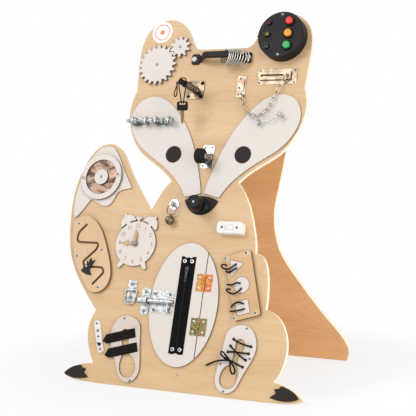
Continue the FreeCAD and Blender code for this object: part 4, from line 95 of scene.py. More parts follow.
class Num:
    """A shader value that ordinary sums can be written with."""

    def __init__(self, finish, socket):
        self.finish = finish
        self.socket = socket

    def sum(self, operation, *terms):
        return self.finish.node("ShaderNodeMath", dict(operation=operation), *terms)

    def __add__(self, other):
        return self.sum("ADD", self, other)

    def __sub__(self, other):
        return self.sum("SUBTRACT", self, other)

    def __rsub__(self, other):
        return self.sum("SUBTRACT", other, self)

    def __mul__(self, other):
        return self.sum("MULTIPLY", self, other)

    def __pow__(self, other):
        return self.sum("POWER", self, other)

    __radd__ = __add__
    __rmul__ = __mul__

    def sine(self):
        return self.sum("SINE", self)

    def size(self):
        return self.sum("ABSOLUTE", self)

    def most(self, other):
        return self.sum("MAXIMUM", self, other)

    def step(self, low, high):
        """0 below low, 1 above high, smooth between."""
        return self.finish.node("ShaderNodeMapRange", dict(interpolation_type="SMOOTHSTEP"),
                                self, low, high, 0.0, 1.0)


class Finish:
    """A material, or a world, being made: its node tree and the few nodes these finishes need."""

    def __init__(self, name, kind="materials"):
        self.data = getattr(bpy.data, kind).new(name)
        self.data.use_nodes = True
        self.tree = self.data.node_tree
        self.tree.nodes.clear()

    def node(self, kind, settings=None, *plain, out=0, **named):
        made = self.tree.nodes.new(kind)
        for key, value in (settings or {}).items():
            setattr(made, key, value)
        for k, value in enumerate(plain):
            self.feed(made.inputs[k], value)
        for key, value in named.items():
            self.feed(made.inputs[key.replace("_", " ")], value)
        return Num(self, made.outputs[out]) if len(made.outputs) else None

    def feed(self, socket, value):
        if isinstance(value, Num):
            self.tree.links.new(value.socket, socket)
        else:
            socket.default_value = value

    def mix(self, factor, a, b):
        made = self.tree.nodes.new("ShaderNodeMix")
        made.data_type = "RGBA"
        for k, value in ((0, factor), (6, a), (7, b)):
            self.feed(made.inputs[k], value)
        return Num(self, made.outputs[2])

    def ramp(self, factor, stops):
        made = self.tree.nodes.new("ShaderNodeValToRGB")
        elements = made.color_ramp.elements
        while len(elements) < len(stops):
            elements.new(0.5)
        for element, (place, colour) in zip(elements, stops):
            element.position = place
            element.color = colour
        self.feed(made.inputs[0], factor)
        return Num(self, made.outputs[0])

    def here(self, foot=-FLOOR_LINE, turn=UPRIGHT - LEAN):
        """Millimetres in a panel's own frame: the board's, unless another one is told."""
        return self.node("ShaderNodeMapping", dict(vector_type="TEXTURE"), self.object_place(),
                         (0, foot * MM, 0), (turn, 0, 0), (MM, MM, MM))

    def from_middle(self, u, v):
        """Millimetres from a place on the board, and the distance from it along the board."""
        places = self.node("ShaderNodeVectorMath", dict(operation="SUBTRACT"), self.here(),
                           (u, v, 0.0))
        across, along, _ = self.split(places)
        return places, (across * across + along * along) ** 0.5

    def object_place(self):
        return self.node("ShaderNodeTexCoord", out=3)

    def split(self, vector):
        node = self.node("ShaderNodeSeparateXYZ", None, vector).socket.node
        return [Num(self, output) for output in node.outputs]

    def stretched(self, vector, scale):
        return self.node("ShaderNodeVectorMath", dict(operation="MULTIPLY"), vector, scale)

    def noise(self, vector, scale, detail=2.0, rough=0.5):
        return self.node("ShaderNodeTexNoise", None, Vector=vector, Scale=scale, Detail=detail,
                         Roughness=rough)

    def cells(self, vector, scale):
        return self.node("ShaderNodeTexVoronoi", dict(feature="F1"), Vector=vector, Scale=scale)

    def facing(self, direction):
        """1 on faces that look along a direction or against it, 0 on the sides."""
        normal = self.node("ShaderNodeTexCoord", out=1)
        return self.node("ShaderNodeVectorMath", dict(operation="DOT_PRODUCT"), normal,
                         tuple(direction), out=1).size()

    def directly_seen(self):
        """1 for rays of the camera, of a reflection and through a clear piece, 0 for others."""
        paths = self.node("ShaderNodeLightPath").socket.node
        camera, glossy, clear = (Num(self, paths.outputs[f"Is {kind} Ray"])
                                 for kind in ("Camera", "Glossy", "Transmission"))
        return camera.most(glossy).most(clear)

    def bump(self, height, strength, distance):
        return self.node("ShaderNodeBump", None, Strength=strength, Distance=distance,
                         Height=height)

    def surface(self, **sockets):
        shader = self.node("ShaderNodeBsdfPrincipled", None, **sockets)
        self.node("ShaderNodeOutputMaterial", None, shader)
        return self.data


# ---------------------------------------------------------------- finishes

BURNT = srgb(52, 34, 23)
WHITE_PAINT = srgb(224, 215, 208)


def veneer(finish, places, light, dark, figure, upright=False):
    """The face of a rotary-cut sheet: fine fibres, slow bands and a few cathedral lines.
    Its grain runs across the board, or up it."""
    def grain(along, across):
        scale = (across, along, 0.0) if upright else (along, across, 0.0)
        return finish.stretched(places, scale)
    fibres = finish.noise(grain(0.012, 0.55), 1.0, 3.0, 0.65)
    bands = finish.noise(grain(0.0022, 0.014), 1.0, 2.0, 0.5)
    cathedral = (bands * 62.0).sine().step(0.72, 1.0) * figure
    pores = finish.noise(grain(0.012 * 2.6, 0.55 * 2.6), 1.0, 2.0, 0.7)
    tone = fibres * 0.55 + bands * 0.75 + cathedral * 0.16 + pores.step(0.62, 0.8) * 0.12
    colour = finish.ramp(tone, [(0.38, light), (0.9, dark)])
    return colour, fibres


def ply_finish(name, frame_of_panel, out, light, dark, pale_layer_and_painted_highlight, edge_dark, figure, sheen=0.42):
    """Birch ply: veneered faces and an edge that shows its layers, its near-white pale layers
    partly a painted highlight.
    """
    layer_pair = 2.9
    finish = Finish(name)
    places = finish.here(*frame_of_panel)
    height = finish.split(places)[2]
    face = finish.facing(out).step(0.55, 0.8)
    colour, fibres = veneer(finish, places, light, dark, figure)
    layer = (height * (TURN / layer_pair) + 0.6).sine().step(-0.25, 0.35)
    speck = finish.noise(finish.stretched(places, (0.25, 0.25, 1.8)), 1.0, 3.0, 0.6)
    # Painted highlight: the edge's pale layers are near white, partly the ply's own tone and
    # partly light painted onto the edge.
    edge = finish.mix(layer * (0.35 + 0.5 * speck), pale_layer_and_painted_highlight, edge_dark)
    whole = finish.mix(face, edge, colour)
    grain = finish.bump(fibres, 0.16, 0.0004)
    return finish.surface(Base_Color=whole, Roughness=sheen + 0.18 * fibres, Normal=grain,
                          Coat_Weight=0.06, Coat_Roughness=0.35)


def cut_ply(name, top_colour, dark, figure=0.0, paint=0.0):
    """Laser-cut sheet: a pale or painted face over edges that the cut has browned."""
    finish = Finish(name)
    places = finish.here()
    face = finish.facing(OUT).step(0.8, 0.97)
    colour, fibres = veneer(finish, places, top_colour, dark, figure)
    flecks = finish.noise(places, 0.35, 4.0, 0.7).step(0.35, 0.75)
    painted = finish.mix(flecks * 0.25, WHITE_PAINT, srgb(214, 204, 195))
    top = finish.mix(paint, colour, painted)
    scorch = finish.noise(finish.stretched(places, (0.5, 0.5, 0.15)), 1.0, 3.0, 0.6)
    burnt = finish.mix(scorch * 0.9, BURNT, srgb(104, 70, 44))
    whole = finish.mix(face, finish.mix(0.85, top, burnt), top)
    return finish.surface(Base_Color=whole, Roughness=0.5 + 0.12 * fibres,
                          Normal=finish.bump(fibres, 0.12, 0.0003), Coat_Weight=0.05,
                          Coat_Roughness=0.4)


def maze_finish():
    """Bare birch sheet with a groove that is browned on its floor and walls."""
    just_below_face = 7.6
    finish = Finish("grooved_birch")
    places = finish.here()
    face = finish.facing(OUT).step(0.8, 0.97)
    colour, fibres = veneer(finish, places, srgb(232, 201, 164), srgb(206, 168, 126), 0.35,
                            upright=True)
    scorch = finish.noise(places, 0.4, 3.0, 0.6)
    sunk = (just_below_face - finish.split(places)[2]).step(0.0, 0.3)
    groove = finish.mix(scorch, srgb(118, 78, 46), srgb(166, 120, 76))
    edge = finish.mix(scorch, srgb(96, 66, 42), srgb(150, 110, 74))
    whole = finish.mix(face, edge, finish.mix(sunk, colour, groove))
    return finish.surface(Base_Color=whole, Roughness=0.5 + 0.15 * fibres,
                          Normal=finish.bump(fibres, 0.15, 0.0003), Coat_Weight=0.05)


def metal(name, colour, other, rough, scratch, patches, dents=0.0, slow=0.16, pitch=None,
          stretch=(0.3, 0.3, 0.3)):
    """Plated steel with fine scratches, patches of another tone and, on a bolt, a cut thread."""
    finish = Finish(name)
    places = finish.here()
    lines = finish.noise(finish.stretched(places, stretch), 1.0, 4.0, 0.65)
    cloud = finish.noise(places, slow, 3.0, 0.6)
    base = finish.mix(cloud.step(0.36, 0.64) * patches, srgb(*colour), srgb(*other))
    height = lines * 0.6 + finish.noise(places, 0.09, 2.0, 0.5) * dents
    if pitch:
        turn = (finish.split(places)[0] * (TURN / pitch)).sine() * 0.5 + 0.5
        height = height * 0.2 + turn * 4.0
    return finish.surface(Base_Color=base, Metallic=1.0, Roughness=rough + scratch * lines,
                          Normal=finish.bump(height, 0.35, 0.00025))


def plastic(name, colour, rough, pits, shine=0.5, worn=None, coat=0.0):
    """Moulded plastic or paint with a faint orange-peel surface."""
    finish = Finish(name)
    places = finish.here()
    peel = finish.noise(places, 0.9, 3.0, 0.55)
    wide = finish.noise(places, 0.05, 2.0, 0.5)
    base = finish.mix(wide.step(0.35, 0.7) * 0.5, srgb(*colour), srgb(*(worn or colour)))
    return finish.surface(Base_Color=base, Roughness=rough + 0.12 * peel,
                          Normal=finish.bump(peel, pits, 0.0004), Coat_Weight=coat,
                          Coat_Roughness=0.12, Specular_IOR_Level=shine)


def lit_plastic(name, colour, painted_highlight_colour, strength):
    """A translucent cap: deep colour with paler patches that are painted highlights, and a faint
    painted glow from its emission.
    """
    finish = Finish(name)
    peel = finish.noise(finish.here(), 0.7, 2.0, 0.5)
    # Painted highlight: paler patches mixed into the deep colour.
    base = finish.mix(peel.step(0.35, 0.75) * 0.35, srgb(*colour), srgb(*painted_highlight_colour))
    # Painted glow: the cap emits light though it holds no lit lamp.
    return finish.surface(Base_Color=base, Roughness=0.3 + 0.1 * peel, Emission_Color=base,
                          Emission_Strength=strength, Specular_IOR_Level=0.3, Coat_Weight=0.1,
                          Coat_Roughness=0.08, Normal=finish.bump(peel, 0.05, 0.0003))


def braid(name, colour, light, pitch, sides):
    """Braided cord: two sets of strands that cross, read from the piece's own map."""
    finish = Finish(name)
    around, along, _ = finish.split(finish.node("ShaderNodeUVMap", dict(uv_map="along")))
    left = (around * (TURN * sides) + along * (TURN / pitch)).sine()
    right = (around * (TURN * sides) - along * (TURN / pitch)).sine()
    strands = left.most(right) * 0.5 + 0.5
    fuzz = finish.noise(finish.here(), 2.2, 3.0, 0.7)
    base = finish.mix(strands * 0.6 + fuzz * 0.35, colour, light)
    return finish.surface(Base_Color=base, Roughness=0.72 + 0.2 * fuzz,
                          Normal=finish.bump(strands + fuzz * 0.4, 0.7, 0.0006),
                          Specular_IOR_Level=0.15)


def weave(name, colour, light, turn, pitch, nap=0.0):
    """Woven tape: warp and weft ribs laid along the piece, blurred by its nap."""
    finish = Finish(name)
    places = finish.node("ShaderNodeMapping", dict(vector_type="POINT"), finish.here(),
                         (0, 0, 0), (0, 0, -turn), (1, 1, 1))
    a, b, _ = finish.split(places)
    ribs = (a * (TURN / pitch)).sine() * (b * (TURN / pitch)).sine() * 0.5 + 0.5
    fuzz = finish.noise(places, 1.6, 4.0, 0.75)
    tone = ribs * (0.55 - 0.4 * nap) + fuzz * (0.45 + 0.4 * nap)
    base = finish.mix(tone, colour, light)
    return finish.surface(Base_Color=base, Roughness=0.8 + 0.15 * fuzz,
                          Normal=finish.bump(tone, 0.6, 0.0005), Specular_IOR_Level=0.12)


def enamel_print(name, ground, first, second, third):
    """A painted hinge leaf with a plain confetti of soft blots in three sizes."""
    finish = Finish(name)
    places = finish.here()
    wobble = finish.noise(places, 0.5, 3.0, 0.6)
    large = finish.cells(places, 0.17) - wobble * 0.3
    small = finish.cells(finish.stretched(places, (1.0, 1.0, 0.2)), 0.31) - wobble * 0.25
    tiny = finish.cells(finish.stretched(places, (1.3, 0.9, 0.2)), 0.5) - wobble * 0.2
    base = srgb(*ground)
    for blots, reach, soft, colour in ((large, 0.32, 0.08, first), (small, 0.2, 0.06, second),
                                       (tiny, 0.14, 0.05, third)):
        base = finish.mix((reach - blots).step(0.0, soft), base, srgb(*colour))
    return finish.surface(Base_Color=base, Roughness=0.36 + 0.15 * wobble, Metallic=0.1,
                          Normal=finish.bump(large, 0.06, 0.0003), Coat_Weight=0.1,
                          Coat_Roughness=0.2)


def mirror_finish():
    """A brushed acrylic mirror with rings turned into it; its browns are a painted reflection of a
    room.
    """
    finish = Finish("mirror_sheet")
    places, radius = finish.from_middle(-268.6, 476.5)
    rings = (radius * 5.2).sine() * 0.5 + 0.5
    cloud = finish.noise(finish.stretched(places, (0.02, 0.05, 0.0)), 1.0, 3.0, 0.6)
    # Painted reflection: the light and dark browns of a room painted into the mirror's base
    # colour.
    base = finish.mix(cloud.step(0.42, 0.6), srgb(132, 110, 95), srgb(60, 44, 36))
    return finish.surface(Base_Color=base, Metallic=0.9, Roughness=0.2 + 0.12 * rings,
                          Normal=finish.bump(rings, 0.08, 0.0002))


def runner_finish():
    """The black slider of the maze, with the bright end of its rivet in the middle."""
    rivet_radius = 2.6
    finish = Finish("runner_black")
    places, radius = finish.from_middle(-267.0, 261.0)
    rivet = (rivet_radius - radius).step(0.0, 0.3)
    peel = finish.noise(places, 0.9, 3.0, 0.55)
    base = finish.mix(rivet, srgb(22, 20, 19), srgb(176, 178, 180))
    return finish.surface(Base_Color=base, Metallic=rivet, Specular_IOR_Level=0.28,
                          Roughness=0.44 - 0.14 * rivet + 0.1 * peel,
                          Normal=finish.bump(peel, 0.12, 0.0003))


def badge_finish():
    """The white badge with a plain orange ring and dot."""
    ring_radius, ring_half_width, dot_radius = 19.0, 1.5, 6.5
    finish = Finish("badge_white")
    places, radius = finish.from_middle(-168.0, 838.0)
    band = (ring_half_width - (radius - ring_radius).size()).step(0.0, 0.5)
    dot = (dot_radius - radius).step(0.0, 0.6)
    flecks = finish.noise(places, 0.3, 3.0, 0.6)
    paper = finish.mix(flecks * 0.4, srgb(242, 238, 234), srgb(232, 226, 221))
    base = finish.mix(band.most(dot), paper, srgb(226, 92, 40))
    return finish.surface(Base_Color=base, Roughness=0.32 + 0.1 * flecks, Coat_Weight=0.3,
                          Coat_Roughness=0.15)


BOARD_FRAME = (-FLOOR_LINE, UPRIGHT - LEAN)
STAND_FRAME = (FOOT_SPREAD, UPRIGHT + REAR_LEAN)
PAINT_SHADE = srgb(214, 204, 194)
# The near-white edge tones of both panels are partly a painted highlight.
birch = ply_finish("birch_board", BOARD_FRAME, OUT, srgb(227, 194, 151), srgb(203, 165, 119),
                   srgb(255, 247, 232), srgb(226, 198, 160), 0.55)
honey = ply_finish("honey_ply", STAND_FRAME, REAR_OUT, srgb(244, 194, 138), srgb(222, 166, 108),
                   srgb(255, 246, 228), srgb(236, 206, 166), 0.7, 0.36)
painted = cut_ply("white_painted_ply", WHITE_PAINT, PAINT_SHADE, paint=0.85)
whitewash = cut_ply("whitewashed_ply", srgb(228, 215, 202), srgb(196, 178, 160), 0.9, 0.25)
gear_white = cut_ply("gear_ply", WHITE_PAINT, PAINT_SHADE, paint=0.9)
hand_cut = cut_ply("hand_birch", srgb(226, 186, 138), srgb(190, 148, 100))
insert_ply = cut_ply("insert_birch", srgb(226, 188, 144), srgb(196, 154, 106), 0.3)
grooved = maze_finish()
mirror = mirror_finish()
badge_white = badge_finish()
runner_black = runner_finish()

# name, colour, roughness, depth of the pits, shine, tone of worn places
black_paint = plastic("black_paint", (40, 34, 31), 0.6, 0.1, 0.2, (50, 43, 40))
black_plastic = plastic("black_moulding", (18, 15, 14), 0.45, 0.14, 0.22, (27, 23, 21))
black_gloss = plastic("black_lacquer", (5, 4, 4), 0.3, 0.05, 0.2)
black_rubber = plastic("black_rubber", (20, 18, 17), 0.62, 0.25, 0.2, (32, 29, 27))
white_plastic = plastic("white_moulding", (233, 229, 225), 0.3, 0.04, 0.4, (227, 223, 218), 0.1)
bare_ivory = plastic("ivory_washer", (224, 217, 206), 0.4, 0.08, 0.4)
thread_black = plastic("black_thread", (28, 25, 24), 0.8, 0.2, 0.15)
tooth_black = plastic("zipper_tooth", (14, 13, 12), 0.45, 0.06, 0.25)
engraved = plastic("engraved_brown", (160, 128, 102), 0.6, 0.1, worn=(140, 108, 82))

# name, colour, tone of its patches, roughness, depth of the scratches, share of the patches
zinc = metal("bright_zinc", (206, 208, 205), (138, 143, 144), 0.24, 0.2, 0.9, dents=2.0)
zinc_thread = metal("threaded_zinc", (198, 200, 198), (128, 134, 136), 0.26, 0.14, 0.7,
                    pitch=1.25)
nickel = metal("brushed_nickel", (168, 152, 132), (112, 97, 80), 0.3, 0.14, 0.8, slow=0.05,
               stretch=(0.05, 1.6, 0.4))
stop_nickel = metal("stop_nickel", (136, 121, 104), (78, 66, 54), 0.28, 0.14, 0.8, slow=0.06,
                    stretch=(0.05, 1.6, 0.4))
chain_nickel = metal("chain_nickel", (192, 184, 170), (128, 118, 104), 0.24, 0.14, 0.8)
chrome = metal("chrome_plate", (190, 192, 194), (112, 116, 122), 0.14, 0.1, 0.8, dents=3.0)
ring_chrome = metal("ring_chrome", (222, 219, 214), (150, 146, 140), 0.16, 0.1, 0.7)
screw_steel = metal("blue_zinc_screw", (120, 134, 146), (84, 98, 112), 0.3, 0.15, 0.6)
dark_screw = metal("black_screw", (30, 27, 25), (46, 42, 38), 0.4, 0.15, 0.3)
silver_screw = metal("silver_screw", (160, 161, 162), (112, 115, 119), 0.26, 0.14, 0.6)
bright_screw = metal("bright_screw", (224, 223, 221), (184, 184, 184), 0.3, 0.14, 0.4)
hinge_steel = metal("hinge_steel", (150, 146, 138), (112, 108, 100), 0.3, 0.16, 0.5)
key_nickel = metal("key_nickel", (150, 128, 92), (104, 84, 56), 0.3, 0.16, 0.6)
bronze = metal("dark_bronze", (104, 78, 50), (66, 48, 30), 0.34, 0.16, 0.6)
gunmetal = metal("dark_chrome", (84, 82, 82), (38, 36, 36), 0.24, 0.1, 0.7)
bell_metal = metal("bell_bronze", (150, 132, 112), (92, 76, 60), 0.2, 0.12, 0.8, dents=6.0)
black_metal = metal("black_metal", (70, 68, 67), (36, 34, 33), 0.3, 0.1, 0.5)

# name, ground, large blots, small blots, tiny blots
warm_print = enamel_print("orange_print", (206, 108, 44), (232, 158, 66), (196, 60, 62),
                          (92, 112, 44))
green_print = enamel_print("green_print", (86, 98, 32), (156, 148, 60), (196, 86, 104),
                           (40, 54, 30))
warm_print_b = enamel_print("orange_print_door", (196, 128, 42), (224, 168, 78), (88, 108, 40),
                            (206, 70, 60))
green_print_b = enamel_print("pink_print", (128, 122, 60), (206, 106, 106), (76, 100, 56),
                             (160, 80, 112))

# name, colour, paler patches of painted highlight, strength of the painted glow
red_cap = lit_plastic("red_cap", (206, 26, 28), (226, 60, 52), 0.12)
amber_cap = lit_plastic("amber_cap", (232, 140, 6), (242, 170, 40), 0.12)
green_cap = lit_plastic("green_cap", (22, 150, 72), (60, 180, 104), 0.12)
red_lamp = lit_plastic("red_lens", (96, 20, 20), (140, 44, 40), 0.02)
olive_lamp = lit_plastic("yellow_lens", (128, 120, 22), (170, 160, 52), 0.04)
green_lamp = lit_plastic("green_lens", (16, 70, 44), (44, 108, 74), 0.02)
olive_bead = lit_plastic("olive_bead", (122, 98, 30), (160, 134, 58), 0.02)
orange_bead = lit_plastic("orange_bead", (186, 112, 40), (212, 150, 78), 0.02)

STRAP_TURN = math.radians(15.8)
CORD_TONES = (srgb(10, 9, 9), srgb(34, 31, 30))
cord_black = braid("black_braid", *CORD_TONES, 0.0026, 4)
lace_black = braid("black_lace", *CORD_TONES, 0.0022, 5)
tape_black = weave("zipper_tape", srgb(8, 7, 7), srgb(22, 19, 18), 0.0, 0.9)
strap_black = weave("strap_loop", srgb(14, 12, 12), srgb(38, 34, 32), STRAP_TURN, 1.1, 0.6)


# ---------------------------------------------------------------- mesh tools

scene = bpy.context.scene
TO_BOARD = Matrix.Scale(1000, 4) @ ON_BOARD.inverted()


def fresh(name, data):
    """A new object in the scene."""
    made = bpy.data.objects.new(name, data)
    scene.collection.objects.link(made)
    return made


def settled(obj):
    """The object's mesh with its modifiers worked in, and the modifiers gone."""
    bpy.context.view_layer.update()
    worked = obj.evaluated_get(bpy.context.evaluated_depsgraph_get())
    mesh = bpy.data.meshes.new_from_object(worked)
    mesh.name = obj.name
    obj.modifiers.clear()
    obj.data = mesh
    return obj


def solids_of(node):
    """The separate solids of a CAD node: faces, middle and size in board millimetres."""
    shape = bmesh.new()
    shape.from_mesh(frame["nodes"][node].data)
    bmesh.ops.remove_doubles(shape, verts=shape.verts, dist=2e-6)
    seen = set()
    found = []
    for first in shape.faces:
        if first in seen:
            continue
        seen.add(first)
        waiting, group = [first], []
        while waiting:
            face = waiting.pop()
            group.append(face)
            for edge in face.edges:
                if len(edge.link_faces) == 2:
                    for other in edge.link_faces:
                        if other not in seen:
                            seen.add(other)
                            waiting.append(other)
        places = [TO_BOARD @ v.co for v in {v for f in group for v in f.verts}]
        low = Vector(min(p[k] for p in places) for k in range(3))
        high = Vector(max(p[k] for p in places) for k in range(3))
        found.append(dict(faces=group, middle=(low + high) / 2, size=high - low))
    return shape, found


def mesh_of(name, shape):
    """A mesh from a bmesh, which is freed."""
    mesh = bpy.data.meshes.new(name)
    shape.to_mesh(mesh)
    shape.free()
    return mesh


def slab(name, outline, thick, narrowing=1.0):
    """A sheet with an outline of (x, y, z) corners, thickened along the third axis."""
    shape = bmesh.new()
    face = shape.faces.new([shape.verts.new(p) for p in outline])
    made = bmesh.ops.extrude_face_region(shape, geom=[face])
    top = [g for g in made["geom"] if isinstance(g, bmesh.types.BMVert)]
    bmesh.ops.translate(shape, verts=top, vec=(0, 0, thick))
    for vert in top:
        vert.co.x *= narrowing
    bmesh.ops.recalc_face_normals(shape, faces=shape.faces)
    return mesh_of(name, shape)


def mesh_from(name, corners, faces, sharp=32):
    """A smooth mesh, creased at edges sharper than the angle."""
    mesh = bpy.data.meshes.new(name)
    mesh.from_pydata(corners, [], faces)
    mesh.validate()
    mesh.shade_smooth()
    mesh.set_sharp_from_angle(angle=math.radians(sharp))
    return mesh


def eased(piece, width, segments, angle):
    """Gives a piece a bevel modifier, in millimetres and degrees."""
    ease = piece.modifiers.new("ease", "BEVEL")
    ease.width = width * MM
    ease.segments = segments
    ease.limit_method = "ANGLE"
    ease.angle_limit = math.radians(angle)
    return ease


def dress(name, node, finish, bevel=0.0, body="board", keep=None, sharp=32, steps=2):
    """A cleaned copy of a CAD node's solids, with eased edges and a finish, in its place.
    keep picks solids by their middle m and size s in the board's frame."""
    shape, solids = solids_of(node)
    corners, faces = [], []
    for solid in solids:
        if keep and not keep(solid["middle"], solid["size"]):
            continue
        number = {}
        for face in solid["faces"]:
            loop = []
            for vert in face.verts:
                if vert not in number:
                    number[vert] = len(corners)
                    corners.append(tuple(vert.co))
                loop.append(number[vert])
            faces.append(loop)
    shape.free()
    mesh = mesh_from(name, corners, faces, sharp)
    if bevel:
        flat = bmesh.new()
        flat.from_mesh(mesh)
        bmesh.ops.dissolve_limit(flat, angle_limit=math.radians(0.6), verts=flat.verts,
                                 edges=flat.edges)
        flat.to_mesh(mesh)
        flat.free()
    piece = fresh(name, mesh)
    if bevel:
        ease = eased(piece, bevel, steps, sharp)
        ease.use_clamp_overlap = False
        ease.miter_outer = "MITER_ARC"
        piece.modifiers.new("even", "WEIGHTED_NORMAL").keep_sharp = True
        settled(piece)
    return finished(piece, finish, body, node)


def finished(piece, finish, body, *nodes):
    """Gives a piece its finish and its body, and hides the CAD nodes that it stands for."""
    piece.data.materials.clear()
    piece.data.materials.append(finish)
    if body:
        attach(piece, body)
    if nodes:
        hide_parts(*nodes)
    return piece


def lathe(profile, sides=24):
    """Corners and faces turned about the third axis from (radius, height) points."""
    corners, faces, rings = [], [], []
    for r, z in profile:
        if r < 1e-6:
            rings.append([len(corners)])
            corners.append((0.0, 0.0, z))
        else:
            rings.append(list(range(len(corners), len(corners) + sides)))
            corners += [(r * math.cos(TURN * k / sides), r * math.sin(TURN * k / sides), z)
                        for k in range(sides)]
    for low, high in zip(rings, rings[1:]):
        for k in range(sides):
            n = (k + 1) % sides
            if len(low) == 1:
                faces.append([low[0], high[n], high[k]])
            elif len(high) == 1:
                faces.append([low[k], low[n], high[0]])
            else:
                faces.append([low[k], low[n], high[n], high[k]])
    return corners, faces


def outward(mesh):
    """Welds a closed mesh and turns its faces outward."""
    shape = bmesh.new()
    shape.from_mesh(mesh)
    bmesh.ops.remove_doubles(shape, verts=shape.verts, dist=1e-7)
    bmesh.ops.recalc_face_normals(shape, faces=shape.faces)
    shape.to_mesh(mesh)
    shape.free()
    return mesh


def screw_head(name, radius, rise, shank, bite):
    """One cross-slotted screw with its seat at height 0: millimetres in, metres out."""
    arm, half = 0.55 * radius, 0.13 * radius
    deep = rise * 0.35
    cross, circle = [], []
    tip = math.atan2(half, arm)
    for quarter in range(4):
        turn = quarter * UPRIGHT
        for x, y in ((arm, -half), (arm, half), (half, half)):
            cross.append((x * math.cos(turn) - y * math.sin(turn),
                          x * math.sin(turn) + y * math.cos(turn)))
        circle += [turn - tip, turn + tip, turn + math.pi / 4]
    sides = len(circle)
    levels = [(shank, -bite), (shank, 0.0), (radius, 0.0), (radius, rise * 0.35),
              (radius * 0.9, rise * 0.68), (radius * 0.72, rise * 0.92)]
    corners, faces = [], []
    for r, z in levels:
        corners += [(r * math.cos(a), r * math.sin(a), z) for a in circle]
    corners += [(x, y, rise) for x, y in cross]
    corners += [(x * 0.7, y * 0.7, deep) for x, y in cross]
    for ring in range(len(levels) + 1):
        for k in range(sides):
            n = (k + 1) % sides
            a, b = ring * sides, (ring + 1) * sides
            faces.append([a + k, a + n, b + n, b + k])
    last = (len(levels) + 1) * sides
    faces.append(list(range(last, last + sides)))
    faces.append(list(range(sides))[::-1])
    corners = [tuple(c * MM for c in p) for p in corners]
    mesh = outward(mesh_from(name, corners, faces))
    mesh.set_sharp_from_angle(angle=math.radians(38))
    return fresh(name, mesh)


def washer_item(name, profile):
    """A washer from its (radius, height) points in millimetres."""
    corners, faces = lathe([(r * MM, z * MM) for r, z in profile + [profile[0]]], 20)
    return fresh(name, outward(mesh_from(name, corners, faces)))


class Setting:
    """A Geometry Nodes tree with named inputs."""

    def __init__(self, name, inputs):
        self.tree = bpy.data.node_groups.new(name, "GeometryNodeTree")
        self.names = {}
        face = self.tree.interface
        face.new_socket("Geometry", in_out="INPUT", socket_type="NodeSocketGeometry")
        for label, kind in inputs:
            made = face.new_socket(label, in_out="INPUT", socket_type="NodeSocket" + kind)
            self.names[label] = made.identifier
        face.new_socket("Geometry", in_out="OUTPUT", socket_type="NodeSocketGeometry")
        self.entry = self.tree.nodes.new("NodeGroupInput")
        self.exit = self.tree.nodes.new("NodeGroupOutput")

    def value(self, label):
        return self.entry.outputs[label]

    def node(self, kind, settings=None, **sockets):
        made = self.tree.nodes.new(kind)
        for key, value in (settings or {}).items():
            setattr(made, key, value)
        for key, value in sockets.items():
            socket = made.inputs[key.replace("_", " ")]
            if isinstance(value, bpy.types.NodeSocket):
                self.tree.links.new(value, socket)
            else:
                socket.default_value = value
        return made

    def copies(self, points):
        """The item on every point, turned alike."""
        item = self.node("GeometryNodeObjectInfo", dict(transform_space="ORIGINAL"),
                         Object=self.value("Item"), As_Instance=True)
        turn = self.node("FunctionNodeEulerToRotation", None, Euler=self.value("Turn"))
        return self.node("GeometryNodeInstanceOnPoints", None, Points=points,
                         Instance=item.outputs["Geometry"], Rotation=turn.outputs[0])

    def finish(self, geometry):
        real = self.node("GeometryNodeRealizeInstances", None, Geometry=geometry)
        coated = self.node("GeometryNodeSetMaterial", None, Geometry=real.outputs[0],
                           Material=self.value("Material"))
        self.tree.links.new(coated.outputs[0], self.exit.inputs[0])
        return self


def points_tree():
    """Copies an item to every point of a mesh, turned alike and spun by a seeded chance."""
    s = Setting("set_out_items", [("Item", "Object"), ("Turn", "Vector"), ("Spin", "Float"),
                                  ("Seed", "Int"), ("Material", "Material")])
    laid = s.copies(s.value("Geometry"))
    chance = s.node("FunctionNodeRandomValue", dict(data_type="FLOAT"), Seed=s.value("Seed"))
    s.tree.links.new(s.value("Spin"), chance.inputs[3])
    amount = s.node("ShaderNodeCombineXYZ", None, Z=chance.outputs[1])
    about = s.node("FunctionNodeEulerToRotation", None, Euler=amount.outputs[0])
    spun = s.node("GeometryNodeRotateInstances", None, Instances=laid.outputs[0],
                  Rotation=about.outputs[0])
    return s.finish(spun.outputs[0])


def row_tree():
    """Copies an item along a straight line, from its start at an even step."""
    s = Setting("row_of_items", [("Item", "Object"), ("Turn", "Vector"), ("Start", "Vector"),
                                 ("Step", "Vector"), ("Count", "Int"), ("Material", "Material")])
    line = s.node("GeometryNodeMeshLine", dict(mode="OFFSET"), Count=s.value("Count"),
                  Start_Location=s.value("Start"), Offset=s.value("Step"))
    return s.finish(s.copies(line.outputs[0]).outputs[0])


POINTS = points_tree()
ROW = row_tree()
BOARD_TURN = (UPRIGHT - LEAN, 0.0, 0.0)


def grown(piece, setting, values):
    """Works a node tree into a piece, with these values."""
    work = piece.modifiers.new("made", "NODES")
    work.node_group = setting.tree
    for label, value in values.items():
        work[setting.names[label]] = value
    return settled(piece)


def set_out(name, item, places, finish, seed, body, node):
    """One piece made of copies of an item at (u, v, h) places on the board."""
    spots = bpy.data.meshes.new(name)
    spots.from_pydata([tuple(at(*p)) for p in places], [], [])
    piece = fresh(name, spots)
    grown(piece, POINTS, {"Item": item, "Turn": BOARD_TURN, "Spin": 3.0, "Seed": seed,
                          "Material": finish})
    return finished(piece, finish, body, node)


def lined_up(name, item, first, step, count, finish, body, node, turn=BOARD_TURN):
    """One piece made of copies of an item in a straight row on the board."""
    start = at(*first)
    offset = at(first[0] + step[0], first[1] + step[1], first[2]) - start
    piece = fresh(name, bpy.data.meshes.new(name))
    grown(piece, ROW, {"Item": item, "Turn": turn, "Start": start[:], "Step": offset[:],
                       "Count": count, "Material": finish})
    return finished(piece, finish, body, node)


def joined(name, pieces):
    """Several meshes as one piece."""
    whole = bmesh.new()
    for piece in pieces:
        whole.from_mesh(piece.data)
        bpy.data.objects.remove(piece)
    return fresh(name, mesh_of(name, whole))


# ---------------------------------------------------------------- cords

